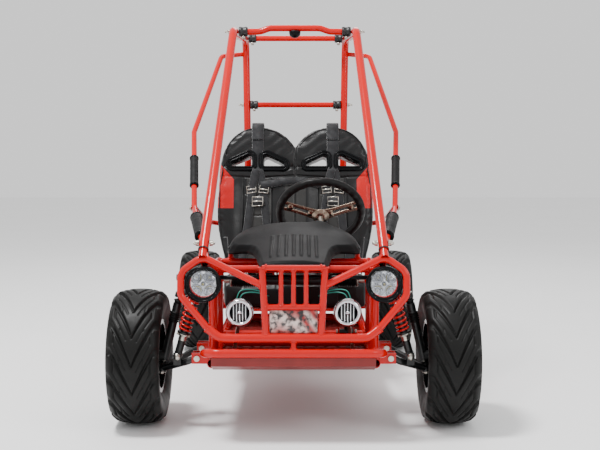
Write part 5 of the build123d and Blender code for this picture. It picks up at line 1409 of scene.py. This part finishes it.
# The air filter and the carburettor stand on the engine's left, under the tank's edge.
filter_parts = [box_at((96, 692, 372), (146, 760, 436), 14), box_at((98, 694, 434), (144, 758, 442), 10)]
filter_parts += [box_at((146, 698 + 9 * i, 380), (149, 702 + 9 * i, 428), 1) for i in range(6)]
rear_piece("air_filter", filter_parts, "moulded_plastic")
carburettor = [pipe([Vector((84, 724, 392)) * MM, Vector((100, 724, 396)) * MM], 15 * MM, 24),
               turned([(0, -24), (12, -23), (15, -18), (15, 0)], 28, moved(90, 724, 388))]
rear_piece("carburettor", carburettor, "engine_aluminium")

tank = [box_at((-64, 539, 442), (124, 705, 474), 34), box_at((-64, 539, 474), (124, 705, 508), 34),
        box_at((-67, 536, 473), (127, 708, 476), 36), box_at((-56, 547, 505), (116, 697, 513.4), 28)]
rear_piece("tank_shell", tank, "frame_paint", ("fuel_tank",))
cap_profile = [(0, 14), (14, 13.6), (20, 11), (23, 9), (23, 2), (20, 0)]
cap_parts = [turned(cap_profile, 40, moved(30, 622, 513))]
for i in range(16):
    a = 2 * math.pi * i / 16
    cap_parts.append(block((3, 3, 8), 1, moved(30 + 23 * math.cos(a), 622 + 23 * math.sin(a), 518.6)))
rear_piece("tank_cap", cap_parts, "bezel_plastic")
straps = [box_at((-8, 535.5, 440), (8, 538.5, 478), 1), box_at((-8, 706, 440), (8, 709, 478), 1),
          box_at((-30, 560, 396), (-14, 576, 444), 2), box_at((74, 560, 396), (90, 576, 444), 2),
          box_at((-30, 640, 396), (-14, 656, 444), 2)]
rear_piece("tank_brackets", straps, "black_paint")

silencer = [box_at((-98, 723, 458), (48, 805, 530), 26, "X"),
            box_at((-102, 730, 464), (-97, 798, 524), 22, "X"),
            box_at((47, 730, 464), (52, 798, 524), 22, "X")]
silencer.append(pipe([Vector((-98, 770, 506)) * MM, Vector((-130, 770, 506)) * MM], 11 * MM, 24))
downpipe = [Vector(p) * MM for p in ((-30, 742, 398), (-40, 762, 420), (-44, 772, 444), (-44, 768, 462))]
silencer.append(pipe(smooth_path(downpipe, 6), 11 * MM, 20))
rear_piece("silencer", silencer, "black_paint", ("muffler",))
shield = [box_at((-92, 804, 462), (42, 806.5, 526), 2)]
shield += [box_at((-80 + 17 * i, 806, 474), (-72 + 17 * i, 808.6, 514), 2) for i in range(8)]
rear_piece("exhaust_shield", shield, "zinc_steel")

cover_low, cover_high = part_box("belt_cover")
cover_mid = (Vector(cover_low) + Vector(cover_high)) / 2


def stadium(grow, steps=16):
    """The belt cover's outline in its own plane, grown outwards in mm."""
    points = []
    for centre, start in ((67, -math.pi / 2), (-67, math.pi / 2)):
        points += [((centre + (78 + grow) * math.cos(start + math.pi * i / steps)) * MM,
                    (78 + grow) * math.sin(start + math.pi * i / steps) * MM) for i in range(steps + 1)]
    return points


turn_out = Matrix(((0, 0, -1), (-1, 0, 0), (0, 1, 0))).to_4x4()
side_out = Matrix.Translation((-0.088, cover_mid.y, cover_mid.z)) @ turn_out
covers = [placed(slab(stadium(0), 0, 36 * MM), side_out),
          placed(slab(stadium(-1.5), 35 * MM, 44 * MM, 6 * MM), side_out),
          placed(slab(stadium(-16), 43 * MM, 47.6 * MM, 4 * MM), side_out)]
for i in range(-5, 6):
    covers.append(block((4, 88, 3), 1.4, side_out @ moved(i * 18, 0, 48)))
rear_piece("belt_guard", covers, "moulded_plastic", ("belt_cover",))
screws = [hex_bolt(side_out @ Vector((x * MM, z * MM, 36 * MM)), (-1, 0, 0), 4.6, 4, 7)
          for x, z in ((-140, 0), (140, 0), (-67, 73), (67, 73), (-67, -73), (67, -73))]
rear_piece("belt_guard_screws", screws, "zinc_steel")


# ------------------------------------------------------------------ chain, caliper and axle
def chain():
    """Roller-chain links round both sprockets."""
    axle, driver = Vector((600, 203)), Vector((500, 300))
    big, small = 66.4, 28.4
    run = driver - axle
    base = math.atan2(run.y, run.x)
    lean = math.acos((big - small) / run.length)
    path = []
    for i in range(49):
        a = base + lean + (2 * math.pi - 2 * lean) * i / 48
        path.append(axle + Vector((math.cos(a), math.sin(a))) * big)
    for i in range(17):
        a = base - lean + 2 * lean * i / 16
        path.append(driver + Vector((math.cos(a), math.sin(a))) * small)
    loop = path + [path[0]]
    lengths = [(b - a).length for a, b in zip(loop, loop[1:])]
    total = sum(lengths)
    count = round(total / 12.7 / 2) * 2
    parts, segment, passed = [], 0, 0.0
    spots = []
    for i in range(count):
        target = total * i / count
        while passed + lengths[segment] < target:
            passed += lengths[segment]
            segment += 1
        spots.append(loop[segment]
                     + (loop[segment + 1] - loop[segment]) * ((target - passed) / lengths[segment]))
    for i, here in enumerate(spots):
        there = spots[(i + 1) % count]
        step = there - here
        centre = (here + there) / 2
        place = moved(-75, centre.x, centre.y) @ Matrix.Rotation(math.atan2(step.y, step.x), 4, "X")
        offset = 3.0 if i % 2 else 1.9
        for s in (-1, 1):
            link = block((8.4, 19.4, 1.1), 4, Matrix.Rotation(math.pi / 2, 4, "Y"))
            parts.append(placed(link, place @ moved(s * offset, 0, 0)))
        pin = facing(Vector((-79, here.x, here.y)) * MM, X)
        parts.append(turned([(0, 0), (2, 0), (2, 8), (0, 8)], 8, pin))
        parts.append(turned([(3.7, 2.6), (3.7, 5.4)], 10, pin))
    return join_geometry(parts)


rear_piece("chain_links", [chain()], "zinc_steel", ("drive_chain",))
caliper_high = Vector(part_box("brake_caliper")[1])
caliper_bolts = [hex_bolt(Vector((caliper_high.x, 0.54, z)), X, 5.5, 4, 8) for z in (0.236, 0.262)]
caliper_bolts.append(turned([(0, 5), (9, 4.4), (11, 1), (11, 0)], 28,
                            facing((caliper_high.x, 0.554, 0.249), X)))
rear_piece("caliper_bolts", caliper_bolts, "zinc_steel")
ends = [turned([(0, 34), (5, 33.4), (9, 30), (9, 22), (17, 21), (17, 8), (20, 7), (20, 3), (12.7, 3)], 6,
               facing((0.3975, 0.6, 0.203), X))]
collars = [turned([(12.7, 0), (20, 0), (21, 1), (21, 9), (20, 10), (12.7, 10)], 36,
                  facing((x * MM, 0.6, 0.203), X)) for x in (222, 150)]
axle_parts = ends + collars
piece("axle_nuts_and_collars", *join_geometry(axle_parts + [mirrored(part) for part in axle_parts]),
      "zinc_steel", "rear_axle")
swing_welds = [bead((200, 478, 235), (-1, 0, 0), 11, (200, 478, 235), Y, 11),
               bead((200, 768, 235), (-1, 0, 0), 11, (200, 768, 235), Y, 11),
               bead((122, 362, 225), (0, -1, 0), 11, (0, 330, 225), X, 16)]
rear_piece("swing_arm_welds", swing_welds + [mirrored(part) for part in swing_welds], "frame_paint")
deck_bolts = [hex_bolt(Vector((x, y, 250)) * MM, Z, 6, 5, 10) for x in (-60, 104) for y in (520, 704)]
rear_piece("deck_bolts", deck_bolts, "zinc_steel")


# ------------------------------------------------------------------ floor, light and camera
def studio():
    """A pale floor, a pale surround and large soft lights."""
    floor_material, tree, shader, place = new_material("pale_floor", {"IOR": 1.45, "Roughness": 0.75})
    mottled(tree, shader, place, "#f8f8f8", "#f3f3f3", 0.6, (0.7, 0.8))
    size = 14.0
    mesh = bpy.data.meshes.new("floor")
    mesh.from_pydata([(-size, -size, 0), (size, -size, 0), (size, size, 0), (-size, size, 0)], [],
                     [(0, 1, 2, 3)])
    floor = bpy.data.objects.new("floor", mesh)
    mesh.materials.append(floor_material)
    bpy.context.scene.collection.objects.link(floor)
    world = bpy.data.worlds.new("studio")
    world.use_nodes = True
    world.node_tree.nodes["Background"].inputs["Color"].default_value = (1, 1, 1, 1)
    world.node_tree.nodes["Background"].inputs["Strength"].default_value = 1.05
    bpy.context.scene.world = world
    lights = (("key", (-1.4, -1.2, 4.4), 1.0, 250), ("fill", (2.6, -2.4, 2.2), 1.2, 30),
              ("rim", (0.4, 3.2, 3.4), 2.0, 40))
    for name, position, width, power in lights:
        lamp = bpy.data.lights.new(name, "AREA")
        lamp.shape = "DISK"
        lamp.size = width
        lamp.energy = power
        holder = bpy.data.objects.new(name, lamp)
        aim = Vector((0, 0, 0.5)) - Vector(position)
        turn = aim.to_track_quat("-Z", "Y").to_matrix().to_4x4()
        holder.matrix_world = Matrix.Translation(position) @ turn
        bpy.context.scene.collection.objects.link(holder)


def camera():
    """A 63 mm view from the front, close to the middle, with the eye at the seats' height."""
    data = bpy.data.cameras.new("camera")
    data.lens, data.sensor_width, data.clip_end = 63.3, 36, 60
    holder = bpy.data.objects.new("camera", data)
    holder.location = (0.018, -3.76, 0.83)
    holder.rotation_euler = (math.radians(90 - 4.17), 0, 0)
    bpy.context.scene.collection.objects.link(holder)
    bpy.context.scene.camera = holder


studio()
camera()
